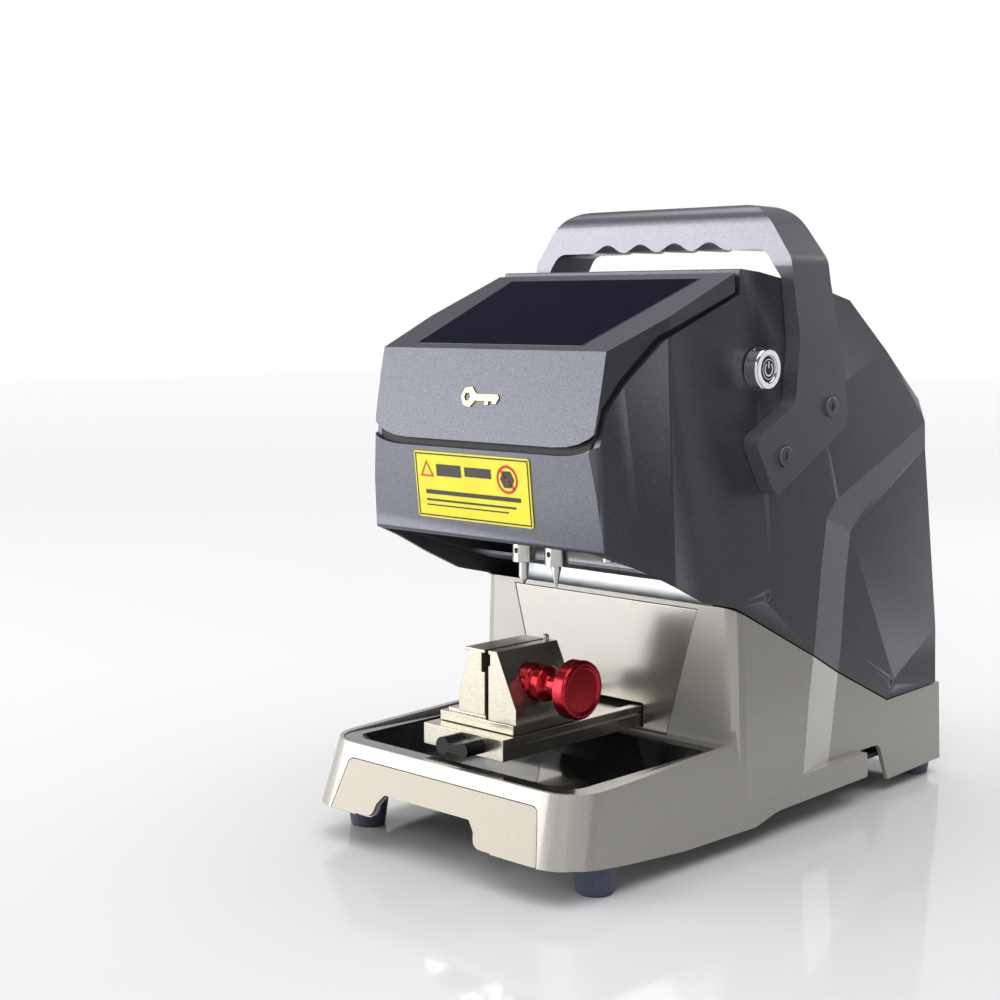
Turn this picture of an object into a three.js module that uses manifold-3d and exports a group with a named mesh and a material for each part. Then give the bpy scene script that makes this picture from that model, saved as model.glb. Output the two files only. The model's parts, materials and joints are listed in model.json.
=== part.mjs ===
// A bench-top electronic key duplicating machine: a cast base with a chip tray and a key clamp in front of
// it, and a covered head behind and above it that carries a probe and a cutter on two axes. The clamp is the
// third axis. Millimetres. +X is to the right as the user faces the machine, -Y is the front, +Z is up, and
// the feet stand on z = 0.
import * as THREE from "three";
import { mergeVertices } from "three/addons/utils/BufferGeometryUtils.js";
import Module from "manifold-3d";

const wasm = await Module();
wasm.setup();

// ---------- driving dimensions ----------

const GAP = 0.3; // between pieces that touch
const RUN = 0.25; // round a piece that slides or turns
const WALL = 3; // cover and casting walls

// Overall
const DEPTH = 392;
const FRONT = -DEPTH / 2;
const BACK = DEPTH / 2;
const BODY_HALF = 104; // half the width at the height of the tray's rim
const RIM_Z = 58;
const DRAFT = 0.04; // how much each side leans in per mm of height
const SKIRT_HALF = BODY_HALF + 2; // half the width at the foot of the front skirt
const LIP_Z = 19.5; // underside of the skirt at the front

// Feet
const FOOT_HEIGHT = 20;
const FOOT_R = 12.7;
const FOOT_TIP_R = 10.5;
const FRONT_FOOT_X = BODY_HALF - 12;
const REAR_FOOT_X = BODY_HALF - 18.5;
const FOOT_FROM_FRONT = 38;
const FOOT_FROM_BACK = 14.5;

// Stations along Y
const WALL_Y = FRONT + 150; // the wall behind the clamp
const APRON_LEAN = 12;
const CLAMP_Y = FRONT + 61; // the clamp knob's axis
const TOOL_Y = FRONT + 93.5; // the probe's and the cutter's axes

// Head and cover
const COLUMN_Z = 142; // top of the wall behind the clamp
const BROW_Z = 238; // the crease across the front of the head
const CHIN_Z = 184; // lower edge of the head's front
const DECK_FRONT_Z = 292;
const DECK_BACK_Z = 337.5;
const DECK_FRONT_Y = FRONT + 50;
const DECK_BACK_Y = WALL_Y + 12;
const BROW_Y = FRONT + 39.5;
const CHIN_Y = FRONT + 45.5;
const SEAM_GAP = 0.8;

// Display pod
const POD_GAP = 4.5;
const POD_CORNER = 42;
const GLASS_THICK = 2;
const GLASS_FRONT_HALF = BODY_HALF - 39;
const GLASS_BACK_HALF = BODY_HALF - 29;

// Handle
const HANDLE_TOP_Z = 377;
const HANDLE_THICK = 10;
const GRIP_HEIGHT = 27;

// Power button
const BUTTON_R = 7;
const BEZEL_R = 12.5;
const BUTTON_OUT = 9; // how far the bezel stands out of the cover
const BUTTON_Z = 280;
const BUTTON_Y = WALL_Y + 24.5;

// Clamp carriage
const CARRIAGE_HALF = 32;
const CARRIAGE_Z = 62.5;
const CARRIAGE_THICK = 12.5;
const CARRIAGE_TOP = CARRIAGE_Z + CARRIAGE_THICK;
const CARRIAGE_Y = FRONT + 28.5;
const JAW_TOP_Z = 121.5;
const JAW_FRONT_Y = FRONT + 39.5;
const JAW_DEPTH = 51;
const JAW_GAP = 3;
const KNOB_R = 17;
const KNOB_THICK = 10;
const KNOB_X = 53;
const KNOB_Z = 103;
const SCREW_R = 3;

// Tools
const HOLDER_R = 7;
const TOOL_R = 3;
const TOOL_TIP_Z = 151;
const HOLDER_Z = 165;
const TOOL_PITCH = 26;

// Drives
const LEAD_R = 4;
const MOTOR_SMALL = 28;
const MOTOR_LARGE = 42;
const RAIL_HALF = 10;

// ---------- shape helpers ----------

function solid(geometry) {
  const bare = geometry.index ? geometry.toNonIndexed() : geometry.clone();
  bare.deleteAttribute("normal");
  bare.deleteAttribute("uv");
  const merged = mergeVertices(bare, 1e-4);
  const mesh = new wasm.Mesh({
    numProp: 3,
    vertProperties: merged.attributes.position.array,
    triVerts: new Uint32Array(merged.index.array),
  });
  return new wasm.Manifold(mesh);
}

function geometryOf(body) {
  const mesh = body.getMesh();
  const geometry = new THREE.BufferGeometry();
  geometry.setAttribute("position", new THREE.BufferAttribute(mesh.vertProperties, 3));
  geometry.setIndex(new THREE.BufferAttribute(mesh.triVerts, 1));
  geometry.computeVertexNormals();
  return geometry;
}

const join = (first, ...rest) => rest.reduce((body, next) => body.add(next), first);
const cut = (first, ...rest) => rest.reduce((body, next) => body.subtract(next), first);
const common = (first, ...rest) => rest.reduce((body, next) => body.intersect(next), first);

// A closed outline of [a, b] or [a, b, corner radius] points.
function outline(points) {
  const shape = new THREE.Shape();
  const count = points.length;
  points.forEach(([a, b, radius = 0], i) => {
    const here = new THREE.Vector2(a, b);
    const before = new THREE.Vector2(...points[(i + count - 1) % count].slice(0, 2)).sub(here);
    const after = new THREE.Vector2(...points[(i + 1) % count].slice(0, 2)).sub(here);
    const half = before.angleTo(after) / 2;
    const reach = radius / Math.tan(half);
    const start = here.clone().add(before.setLength(reach));
    const end = here.clone().add(after.setLength(reach));
    if (i === 0) shape.moveTo(start.x, start.y);
    else shape.lineTo(start.x, start.y);
    if (radius > 0) shape.quadraticCurveTo(a, b, end.x, end.y);
  });
  shape.closePath();
  return shape;
}

function extrusion(points, length, segments) {
  const shape = points instanceof THREE.Shape ? points : outline(points);
  return new THREE.ExtrudeGeometry(shape, { depth: length, bevelEnabled: false, curveSegments: segments });
}

// An outline in (x, y), standing from one height to another.
function prismZ(points, from, to, segments = 3) {
  return solid(extrusion(points, to - from, segments).translate(0, 0, from));
}

// An outline in (x, z), running from one y to another.
function prismY(points, from, to, segments = 3) {
  return solid(extrusion(points, to - from, segments).rotateX(Math.PI / 2).translate(0, to, 0));
}

// An outline in (y, z), running from one x to another.
function prismX(points, from, to, segments = 3) {
  const turn = new THREE.Matrix4().makeBasis(
    new THREE.Vector3(0, 1, 0),
    new THREE.Vector3(0, 0, 1),
    new THREE.Vector3(1, 0, 0),
  );
  return solid(extrusion(points, to - from, segments).applyMatrix4(turn).translate(from, 0, 0));
}

// A block between two corners.
function block(x0, x1, y0, y1, z0, z1) {
  const geometry = new THREE.BoxGeometry(x1 - x0, y1 - y0, z1 - z0);
  return solid(geometry.translate((x0 + x1) / 2, (y0 + y1) / 2, (z0 + z1) / 2));
}

// A turned piece: [radius, height] points from one end to the other, standing on Z.
function turned(profile, sides = 20) {
  const first = profile[0];
  const last = profile[profile.length - 1];
  const closed = first[0] === last[0] && first[1] === last[1];
  const points = closed ? profile : [[0, first[1]], ...profile, [0, last[1]]];
  const lathe = new THREE.LatheGeometry(
    points.map(([r, h]) => new THREE.Vector2(r, h)),
    sides,
  );
  return lathe.rotateX(Math.PI / 2);
}

const along = {
  z: (geometry) => geometry,
  x: (geometry) => geometry.rotateY(Math.PI / 2),
  y: (geometry) => geometry.rotateX(-Math.PI / 2),
};

function turnedSolid(axis, profile, at, sides) {
  return solid(along[axis](turned(profile, sides)).translate(...at));
}

// A round bar along an axis, from one place on it to another.
function bar(axis, radius, from, to, at, sides = 16) {
  return turnedSolid(axis, [[radius, from], [radius, to]], at, sides);
}

// Moves every corner of a solid.
function reshaped(body, move) {
  const geometry = geometryOf(body);
  const place = geometry.attributes.position;
  for (let i = 0; i < place.count; i += 1)
    place.setXYZ(i, ...move(place.getX(i), place.getY(i), place.getZ(i)));
  return solid(geometry);
}

// An outline with each edge moved inwards by its own distance; corners keep their radius.
function inset(points, distance) {
  const area = points.reduce((sum, [a, b], i) => {
    const [c, d] = points[(i + 1) % points.length];
    return sum + a * d - c * b;
  }, 0);
  const side = Math.sign(area);
  const edges = points.map(([a, b], i) => {
    const [c, d] = points[(i + 1) % points.length];
    const length = Math.hypot(c - a, d - b);
    const shift = (Array.isArray(distance) ? distance[i] : distance) * side;
    return { a: a - ((d - b) / length) * shift, b: b + ((c - a) / length) * shift, u: c - a, v: d - b };
  });
  return points.map(([a, b, radius = 0], i) => {
    const one = edges[(i + edges.length - 1) % edges.length];
    const two = edges[i];
    const cross = one.u * two.v - one.v * two.u;
    const t = ((two.a - one.a) * two.v - (two.b - one.b) * two.u) / cross;
    return [one.a + one.u * t, one.b + one.v * t, radius];
  });
}

const halfWidth = (z) => BODY_HALF - DRAFT * (z - RIM_Z);
const mirrorX = (points) => [...points, ...points.map(([x, ...rest]) => [-x, ...rest]).reverse()];
const root = new THREE.Group();

function add(name, shape, color, roughness, metalness) {
  const geometry = shape instanceof THREE.BufferGeometry ? shape : geometryOf(shape);
  const material = new THREE.MeshStandardMaterial({ color, roughness, metalness });
  const mesh = new THREE.Mesh(geometry, material);
  mesh.name = name;
  root.add(mesh);
}

const FINISH = {
  casting: ["#c4c3bd", 0.35, 0.7],
  apron: ["#cfc9bb", 0.35, 0.7],
  graphite: ["#3f4046", 0.6, 0.2],
  rubber: ["#34345a", 0.8, 0],
  satinBlack: ["#1f1f21", 0.35, 0],
  glass: ["#05051a", 0.05, 0],
  steel: ["#b8b6ae", 0.25, 1],
  darkSteel: ["#7a7a7c", 0.35, 1],
  red: ["#c0262c", 0.2, 0.8],
  yellow: ["#fff200", 0.5, 0],
  gold: ["#c79a5b", 0.4, 0.6],
  chrome: ["#d8d8dc", 0.1, 1],
  motor: ["#26262a", 0.5, 0.4],
  board: ["#1c5a34", 0.6, 0],
  aluminium: ["#a9abae", 0.4, 0.9],
};

// ---------- body outlines shared by the casting and the cover ----------

// The seam between casting and cover, from the front wall to the back.
const SEAM = [
  [WALL_Y, COLUMN_Z + 1],
  [WALL_Y + 71.5, 108],
  [BACK - 70, 61],
  [BACK, 63],
];

function columnPlan(shrink) {
  const plan = [
    [BODY_HALF, WALL_Y, 10],
    [BODY_HALF, BACK, 16],
    [-BODY_HALF, BACK, 16],
    [-BODY_HALF, WALL_Y, 10],
  ];
  return planTool(shrink ? inset(plan, shrink) : plan);
}

// Stands a plan up and leans its sides in with the draft.
function planTool(plan) {
  return reshaped(prismZ(plan, 0, 400), (x, y, z) => [(x * halfWidth(z)) / BODY_HALF, y, z]);
}

const BACK_LEAN = 0.135;
const HEAD_OUTLINE = [
  [DECK_FRONT_Y, DECK_FRONT_Z],
  [BROW_Y, BROW_Z],
  [CHIN_Y, CHIN_Z, 3],
  [CHIN_Y + 20, CHIN_Z - 8, 8],
  [WALL_Y - 26, COLUMN_Z + 7, 12],
  ...SEAM.slice(0, -1),
  [BACK - 4, 63],
  [BACK - 19, 222],
  [BACK - 36, 255.5],
  [BACK - 76, 289],
  [BACK - 117, 320],
  [BACK - 137, 324.5],
  [DECK_BACK_Y + 18, 336],
  [DECK_BACK_Y, DECK_BACK_Z],
];
const LOWER_EDGES = [2, 3, 4, 5, 6, 7]; // the outline's edges that stay open underneath

function headPlan(shrink) {
  const plan = [
    [BODY_HALF - 10, BROW_Y - 1, 10],
    [BODY_HALF, FRONT + 95, 20],
    [BODY_HALF, BACK + 10, 16],
    [-BODY_HALF, BACK + 10, 16],
    [-BODY_HALF, FRONT + 95, 20],
    [10 - BODY_HALF, BROW_Y - 1, 10],
  ];
  return planTool(shrink ? inset(plan, shrink) : plan);
}

function headSkin(shrink) {
  const reach = HEAD_OUTLINE.map((_, i) => (LOWER_EDGES.includes(i) ? -18 : shrink));
  const side = shrink ? inset(HEAD_OUTLINE, reach) : HEAD_OUTLINE;
  const backCorners = prismZ(
    [
      [140, FRONT - 5],
      [140, BACK - 34],
      [BODY_HALF - 26, BACK + 4 - shrink],
      [26 - BODY_HALF, BACK + 4 - shrink],
      [-140, BACK - 34],
      [-140, FRONT - 5],
    ],
    0,
    400,
  );
  return common(prismX(side, -140, 140), headPlan(shrink), backCorners);
}

// The shallow scoop in each side, behind the arm of the handle.
const SCOOP_DEPTH = 5.5;
const SCOOP_EDGE = [
  [WALL_Y + 49, -2],
  [WALL_Y + 67.5, 111],
  [WALL_Y + 75, 152],
  [WALL_Y + 84, 191],
  [WALL_Y + 97, 203],
  [WALL_Y + 195, 241],
  [BACK + 60, 282],
  [BACK + 60, -2],
];
const SCOOP_FLOOR = [
  [WALL_Y + 95, -1],
  [WALL_Y + 119, 106],
  [WALL_Y + 125, 148],
  [WALL_Y + 131, 175],
  [WALL_Y + 148, 188],
  [WALL_Y + 218, 220],
  [BACK + 59, 258],
  [BACK + 59, -1],
];

function scoop(side, grow) {
  const edge = grow ? inset(SCOOP_EDGE, -grow) : SCOOP_EDGE;
  const floor = grow ? inset(SCOOP_FLOOR, -grow) : SCOOP_FLOOR;
  const depth = SCOOP_DEPTH + grow;
  const outer = edge.map(([y, z]) => [side * (halfWidth(z) + 2), y, z]);
  const inner = floor.map(([y, z]) => [side * (halfWidth(z) - depth), y, z]);
  return loft(inner, outer);
}

// A solid between two rings of as many points, each of them flat enough to be capped in (y, z).
function loft(low, high) {
  const count = low.length;
  const flat = (ring) => ring.map((p) => new THREE.Vector2(p[1], p[2]));
  const turn = (a, b, c) => Math.sign((b.x - a.x) * (c.y - a.y) - (b.y - a.y) * (c.x - a.x));
  const cap = (ring) => {
    const points = flat(ring);
    const way = Math.sign(THREE.ShapeUtils.area(points));
    const faces = THREE.ShapeUtils.triangulateShape(points, []);
    return faces.map(([a, b, c]) => (turn(points[a], points[b], points[c]) === way ? [a, b, c] : [a, c, b]));
  };
  const faces = [];
  for (let i = 0; i < count; i += 1) {
    const j = (i + 1) % count;
    faces.push([i, j, j + count], [i, j + count, i + count]);
  }
  faces.push(...cap(low).map(([a, b, c]) => [c, b, a]));
  faces.push(...cap(high).map((face) => face.map((k) => k + count)));
  const geometry = new THREE.BufferGeometry();
  geometry.setAttribute("position", new THREE.Float32BufferAttribute([...low, ...high].flat(), 3));
  geometry.setIndex(faces.flat());
  const body = solid(geometry);
  return body.volume() > 0 ? body : solid(geometry.setIndex(faces.map(([a, b, c]) => [a, c, b]).flat()));
}

const scoops = (grow) => join(scoop(1, grow), scoop(-1, grow));

// Screw places on the right side; the left side mirrors them.
const COVER_SCREWS = [
  [WALL_Y + 33.5, 146, 0],
  [BACK - 64.5, 71, SCOOP_DEPTH],
];
const COVER_SCREW_R = 4;
const HANDLE_SCREWS = [
  [WALL_Y + 86.5, 256],
  [WALL_Y + 37.5, 229],
];
const HANDLE_SCREW_R = 6;

const FOOT_PLACES = [
  [-FRONT_FOOT_X, FRONT + FOOT_FROM_FRONT],
  [FRONT_FOOT_X, FRONT + FOOT_FROM_FRONT],
  [-REAR_FOOT_X, BACK - FOOT_FROM_BACK],
  [REAR_FOOT_X, BACK - FOOT_FROM_BACK],
];

// ---------- casting ----------

const TRAY_HALF = BODY_HALF - 7;
const STRIP_TOP = 32.5; // the scoop stops here, above a strip along the bottom of each side
const TRAY_FRONT_Y = FRONT + 14.5;
const TRAY_FLOOR_Z = 41;
const WALL_THICK = 5;
const PANEL_SLOPE = 0.283; // how far the wall panel's side leans per mm of height
const panelHalf = (z) => 57.6 + (z - 82) * PANEL_SLOPE;

const SKIRT_CORNER = 28;
const SKIRT_FLARE = 4; // how much wider each side is at the foot than at the rim

function traySkirt(shrink) {
  const half = SKIRT_HALF - shrink;
  const front = FRONT + shrink;
  const rear = WALL_Y + 40;
  const plan = [
    [half, front, SKIRT_CORNER],
    [half, rear],
    [-half, rear],
    [-half, front, SKIRT_CORNER],
  ];
  return reshaped(prismZ(plan, 5, 70, 8), (x, y, z) => {
    const rise = (z - LIP_Z) / (RIM_Z - LIP_Z);
    const lean = (rear - y) / (rear - front);
    return [x * (1 - (rise * SKIRT_FLARE) / half), y + APRON_LEAN * rise * lean, z];
  });
}

const BASE_OUTLINE = [
  [FRONT - 6, LIP_Z],
  [FRONT + 10, 20],
  [FRONT + 46, 16],
  [FRONT + 98, 12],
  [FRONT + 166, 11],
  [FRONT + 187, 15.4],
  [BACK - 103, 17, 2],
  [BACK - 103, 33, 2],
  [BACK - 80, 33, 7],
  [BACK - 70, 8],
  [BACK, 10],
  ...SEAM.map(([y, z]) => [y, z - SEAM_GAP]).reverse(),
  [WALL_Y, RIM_Z + 4],
  [FRONT, RIM_Z - 0.3],
];

// The opening under the apron, where the key's blank drops out; it sits left of the middle.
const ARCH_X = -6;
const ARCH_HALF = 40;
const ARCH_TOP = 33.5;

function archTool(grow) {
  const arch = mirrorX([
    [ARCH_HALF + 14, LIP_Z - 8],
    [ARCH_HALF + 14, LIP_Z + 0.2],
    [ARCH_HALF, LIP_Z + 0.2, 7],
    [ARCH_HALF - 1, 28, 3],
    [ARCH_HALF - 6, ARCH_TOP, 3],
  ]);
  return prismY(inset(arch, -grow), FRONT - 10, FRONT + 26, 5).translate(ARCH_X, 0, 0);
}

// The apron is a plate let into the casting's front, as a layer of the skirt's own curve.
const APRON_THICK = 1.6;

function apronBlank(grow) {
  const plate = mirrorX([
    [83, LIP_Z + 0.3, 1],
    [75.6, 49.7, 5],
  ]);
  return prismY(inset(plate, -grow), FRONT - 10, FRONT + 26);
}

function trayPlan(shrink, corner) {
  return [
    [TRAY_HALF - shrink, TRAY_FRONT_Y + shrink, corner],
    [TRAY_HALF - shrink, WALL_Y - GAP - shrink, 3],
    [shrink - TRAY_HALF, WALL_Y - GAP - shrink, 3],
    [shrink - TRAY_HALF, TRAY_FRONT_Y + shrink, corner],
  ];
}

function wallPanelOutline(shrink) {
  return mirrorX([
    [panelHalf(COLUMN_Z - 3) - shrink, COLUMN_Z - 3 - shrink],
    [panelHalf(RIM_Z + 2) - shrink, RIM_Z + 2 + shrink],
  ]);
}

const slotTool = (from, to) =>
  block(-CARRIAGE_HALF - 1, CARRIAGE_HALF + 1, from, to, CARRIAGE_Z - 1, CARRIAGE_TOP + 1);

function makeCasting() {
  const outer = common(join(traySkirt(0), columnPlan(0)), prismX(BASE_OUTLINE, -140, 140));
  const trayHollow = common(traySkirt(WALL + 1), block(-140, 140, FRONT, WALL_Y + 20, 0, RIM_Z - 5));
  const columnHollow = cut(
    common(columnPlan(WALL + 1), block(-140, 140, WALL_Y + WALL_THICK, BACK, 0, 200)),
    scoops(WALL),
  );
  const bossTop = TRAY_FLOOR_Z - 3;
  const bosses = FOOT_PLACES.map(([x, y]) => bar("z", FOOT_R + 2.5, FOOT_HEIGHT + GAP, bossTop, [x, y, 0]));
  const pockets = FOOT_PLACES.map(([x, y]) => bar("z", FOOT_R + GAP, -1, FOOT_HEIGHT + GAP, [x, y, 0]));
  const shell = cut(outer, trayHollow, columnHollow, scoops(0));
  const trayHole = prismZ(trayPlan(6.6, 14), RIM_Z - 10, RIM_Z + 12, 6);
  const trayLedge = prismZ(trayPlan(-0.4, 20), RIM_Z - 1.6, RIM_Z + 6, 6);
  const panelHole = prismY(wallPanelOutline(4), WALL_Y - 5, WALL_Y + WALL_THICK + 2);
  const panelLedge = prismY(wallPanelOutline(-GAP), WALL_Y - 5, WALL_Y + 3);
  const screwHoles = COVER_SCREWS.flatMap(([y, z, depth]) => {
    const hole = bar("x", COVER_SCREW_R + 1, halfWidth(z) - depth - 12, 130, [0, y, z]);
    return [hole, hole.scale([-1, 1, 1])];
  });
  const strips = [-1, 1].map((s) => {
    const strip = block(BODY_HALF - 8, SKIRT_HALF, WALL_Y + 50, BACK - 103, 8, STRIP_TOP);
    return cut(common(strip.scale([s, 1, 1]), columnPlan(0), prismX(BASE_OUTLINE, -140, 140)), columnHollow);
  });
  const body = join(shell, ...bosses.map((boss) => cut(common(boss, outer), scoops(0))), ...strips);
  const slot = slotTool(WALL_Y - 3, WALL_Y + WALL_THICK + 2);
  const apron = cut(apronBlank(0.4), traySkirt(APRON_THICK + GAP));
  const panel = join(panelHole, panelLedge);
  return cut(body, ...pockets, archTool(0), apron, trayHole, trayLedge, panel, slot, ...screwHoles);
}

function makeApron() {
  return cut(common(apronBlank(0), traySkirt(0.1)), traySkirt(APRON_THICK), archTool(0.8));
}

// The well slopes in to a flat floor, under a flange that rests on the casting's ledge.
function makeTray() {
  const lean = (x, y, z) => {
    const drop = (RIM_Z - z) / (RIM_Z - TRAY_FLOOR_Z);
    const middle = (TRAY_FRONT_Y + WALL_Y) / 2;
    return [x * (1 - 0.17 * drop), middle + (y - middle) * (1 - 0.2 * drop), z];
  };
  const flange = prismZ(trayPlan(0, 20), RIM_Z - 1.3, RIM_Z, 6);
  const pan = reshaped(prismZ(trayPlan(7, 14), TRAY_FLOOR_Z - 2, RIM_Z, 6), lean);
  const well = reshaped(prismZ(trayPlan(9, 12), TRAY_FLOOR_Z, RIM_Z + 2, 6), lean);
  return cut(join(flange, pan), well);
}

function makeWallPanel() {
  return cut(prismY(wallPanelOutline(0), WALL_Y + 0.4, WALL_Y + 2.6), slotTool(WALL_Y - 5, WALL_Y + 5));
}

const PAN_Z = 24;

function makeBasePan() {
  const floor = common(columnPlan(WALL + 1.4), block(-140, 140, WALL_Y + 8, BACK - 5, PAN_Z, PAN_Z + 3));
  const feet = FOOT_PLACES.map(([x, y]) => bar("z", FOOT_R + 3, 0, 60, [x, y, 0]));
  return cut(floor, ...feet, scoops(WALL + 0.4));
}

// ---------- cover ----------

// The pod's lower edge is a U across the front that climbs round the corners and runs back under the deck.
const POD_HALF = BODY_HALF - 4;

function podRegion(grow) {
  const low = BROW_Z + 2 - grow;
  const backY = DECK_BACK_Y - 6 + grow;
  const front = mirrorX([
    [POD_HALF + grow, 400],
    [POD_HALF + grow, low, POD_CORNER],
  ]);
  const rise = (DECK_BACK_Z - DECK_FRONT_Z) / (DECK_BACK_Y - DECK_FRONT_Y);
  const edge = [
    [BROW_Y, BROW_Z],
    [DECK_FRONT_Y - 4, BROW_Z + 24],
    [DECK_FRONT_Y + 9, BROW_Z + 39, 14],
    [DECK_FRONT_Y + 36, BROW_Z + 62, 20],
    [backY, DECK_FRONT_Z + (backY - DECK_FRONT_Y) * rise - 11],
  ];
  const lid = [
    [FRONT, BROW_Z - 120],
    ...edge.map(([y, z, radius]) => [Math.min(y + grow * 0.7, backY), z - grow * 0.7, radius]),
    [backY, 400],
    [FRONT, 400],
  ];
  return common(prismY(front, FRONT - 1, DECK_BACK_Y + 20, 8), prismX(lid, -140, 140, 6));
}

const buttonHole = (radius) => bar("x", radius, 60, 140, [0, BUTTON_Y, BUTTON_Z], 24);

const REAR_PANEL = { half: 52, low: 82, high: 196 };

function rearPanelOutline(grow) {
  const { half, low, high } = REAR_PANEL;
  return [
    [-half - grow, low - grow, 5],
    [half + grow, low - grow, 5],
    [half + grow, high + grow, 5],
    [-half - grow, high + grow, 5],
  ];
}

function makeHead() {
  const inside = cut(headSkin(WALL), scoops(WALL));
  const shell = cut(headSkin(0), inside, scoops(0), podRegion(POD_GAP), buttonHole(9.8));
  const seamLine = prismX(
    [
      [WALL_Y - 0.6, 0],
      [BACK + 20, 0],
      [BACK + 20, 63 + SEAM_GAP / 2],
      ...SEAM.map(([y, z]) => [y, z + SEAM_GAP / 2]).reverse().slice(1),
      [WALL_Y - 0.6, COLUMN_Z + 1 + SEAM_GAP / 2],
    ],
    -140,
    140,
  );
  const screwHoles = COVER_SCREWS.flatMap(([y, z, depth]) =>
    [-1, 1].map((s) =>
      join(
        bar("x", COVER_SCREW_R + GAP, halfWidth(z) - depth - 1.6, 130, [0, y, z]),
        bar("x", 2.5, halfWidth(z) - depth - 20, 130, [0, y, z]),
      ).scale([s, 1, 1]),
    ),
  );
  const handleHoles = HANDLE_SCREWS.flatMap(([y, z]) =>
    [-1, 1].map((s) => bar("x", 3.4, 60, 130, [0, y, z]).scale([s, 1, 1])),
  );
  const rear = prismY(rearPanelOutline(GAP), BACK - 60, BACK + 10);
  return cut(shell, seamLine, ...screwHoles, ...handleHoles, rear);
}

function deckPlate(points, above, below) {
  const rise = (DECK_BACK_Z - DECK_FRONT_Z) / (DECK_BACK_Y - DECK_FRONT_Y);
  const deck = (y, off) => DECK_FRONT_Z + (y - DECK_FRONT_Y) * rise + off;
  const slab = [
    [FRONT, deck(FRONT, below)],
    [WALL_Y + 40, deck(WALL_Y + 40, below)],
    [WALL_Y + 40, deck(WALL_Y + 40, above)],
    [FRONT, deck(FRONT, above)],
  ];
  return common(prismZ(points, 200, 400), prismX(slab, -140, 140));
}

function glassPlan(grow) {
  return [
    [GLASS_FRONT_HALF + grow, DECK_FRONT_Y + 6.5 - grow, 1.5],
    [GLASS_BACK_HALF + grow, DECK_BACK_Y - 14 + grow, 1.5],
    [-GLASS_BACK_HALF - grow, DECK_BACK_Y - 14 + grow, 1.5],
    [-GLASS_FRONT_HALF - grow, DECK_FRONT_Y + 6.5 - grow, 1.5],
  ];
}

function makePod() {
  const shell = common(podRegion(0), cut(headSkin(0), headSkin(WALL)));
  return cut(shell, deckPlate(glassPlan(GAP), 5, -GLASS_THICK - GAP));
}

function makeGasket() {
  const layer = cut(headSkin(WALL + GAP), headSkin(WALL + GAP + 2));
  return common(layer, cut(podRegion(POD_GAP + 3), podRegion(-3)));
}

function makeDisplayModule() {
  const plan = [
    [66, DECK_FRONT_Y + 14, 2],
    [66, DECK_BACK_Y - 22, 2],
    [-66, DECK_BACK_Y - 22, 2],
    [-66, DECK_FRONT_Y + 14, 2],
  ];
  return deckPlate(plan, -7, -14);
}

// A thin plate that lies on the head's front, between two heights where the face is flat.
function facePlate(points, low, high, thick) {
  const [[y0, z0], [y1, z1]] = [low, high];
  const slope = (y1 - y0) / (z1 - z0);
  const face = (z) => y0 + (z - z0) * slope;
  const slab = [
    [face(150) - thick - 0.1, 150],
    [face(150) - 0.1, 150],
    [face(320) - 0.1, 320],
    [face(320) - thick - 0.1, 320],
  ];
  return common(prismY(points, FRONT - 20, FRONT + 80), prismX(slab, -140, 140));
}

// A plain key in outline: a round bow, a blade and two cuts.
function makeBadge() {
  const z = (BROW_Z + DECK_FRONT_Z) / 2;
  const key = new THREE.Shape();
  key.absarc(-10, z, 6, 0.32, Math.PI * 2 - 0.32, false);
  key.lineTo(3, z - 1.9);
  key.lineTo(3, z - 4.2);
  key.lineTo(6, z - 4.2);
  key.lineTo(6, z - 1.9);
  key.lineTo(9, z - 1.9);
  key.lineTo(9, z - 3.4);
  key.lineTo(12, z - 3.4);
  key.lineTo(14, z);
  key.lineTo(12.5, z + 1.9);
  key.closePath();
  const eye = new THREE.Path();
  eye.absarc(-11, z, 2.6, 0, Math.PI * 2, true);
  key.holes.push(eye);
  return facePlate(key, [BROW_Y, BROW_Z], [DECK_FRONT_Y, DECK_FRONT_Z], 0.8);
}

function makeLabel() {
  const middle = -5;
  const z = (BROW_Z + CHIN_Z) / 2 + 2;
  const plate = [
    [middle - 46, z - 19.5, 2],
    [middle + 46, z - 19.5, 2],
    [middle + 46, z + 19.5, 2],
    [middle - 46, z + 19.5, 2],
  ];
  return facePlate(plate, [CHIN_Y, CHIN_Z], [BROW_Y, BROW_Z], 0.6);
}

// Closes the head underneath, with a window for the probe and the cutter.
function makeHeadFloor() {
  const slope = (COLUMN_Z + 8 - CHIN_Z) / (WALL_Y - CHIN_Y);
  const line = (y, off) => CHIN_Z + (y - CHIN_Y) * slope + off;
  const back = WALL_Y - 2;
  const strip = [
    [FRONT, line(FRONT, 3)],
    [back, line(back, 3)],
    [back, line(back, 5)],
    [FRONT, line(FRONT, 5)],
  ];
  const window = block(-90, 58, TOOL_Y - 22, TOOL_Y + 34, 0, 300);
  return cut(common(prismX(strip, -140, 140), headSkin(WALL + GAP + 0.2)), window);
}

// ---------- handle ----------

const ARM_GAP = 0.6;

function handleFront() {
  const outer = [
    [halfWidth(200) + ARM_GAP + HANDLE_THICK, 190],
    [halfWidth(300) + ARM_GAP + HANDLE_THICK, 300],
    [halfWidth(340) + ARM_GAP + HANDLE_THICK - 2, 344, 14],
    [BODY_HALF - 26, HANDLE_TOP_Z, 34],
  ];
  const inner = [
    [BODY_HALF - 22, HANDLE_TOP_Z - GRIP_HEIGHT, 12],
    [halfWidth(338) + ARM_GAP, DECK_BACK_Z - 4, 6],
    [halfWidth(200) + ARM_GAP, 190],
  ];
  return mirrorX([...inner, ...outer]);
}

// The grip's underside waves up for each finger.
const FINGERS = 4;
const FINGER_PITCH = 27;
const FINGER_DEPTH = 5.2;

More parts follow.
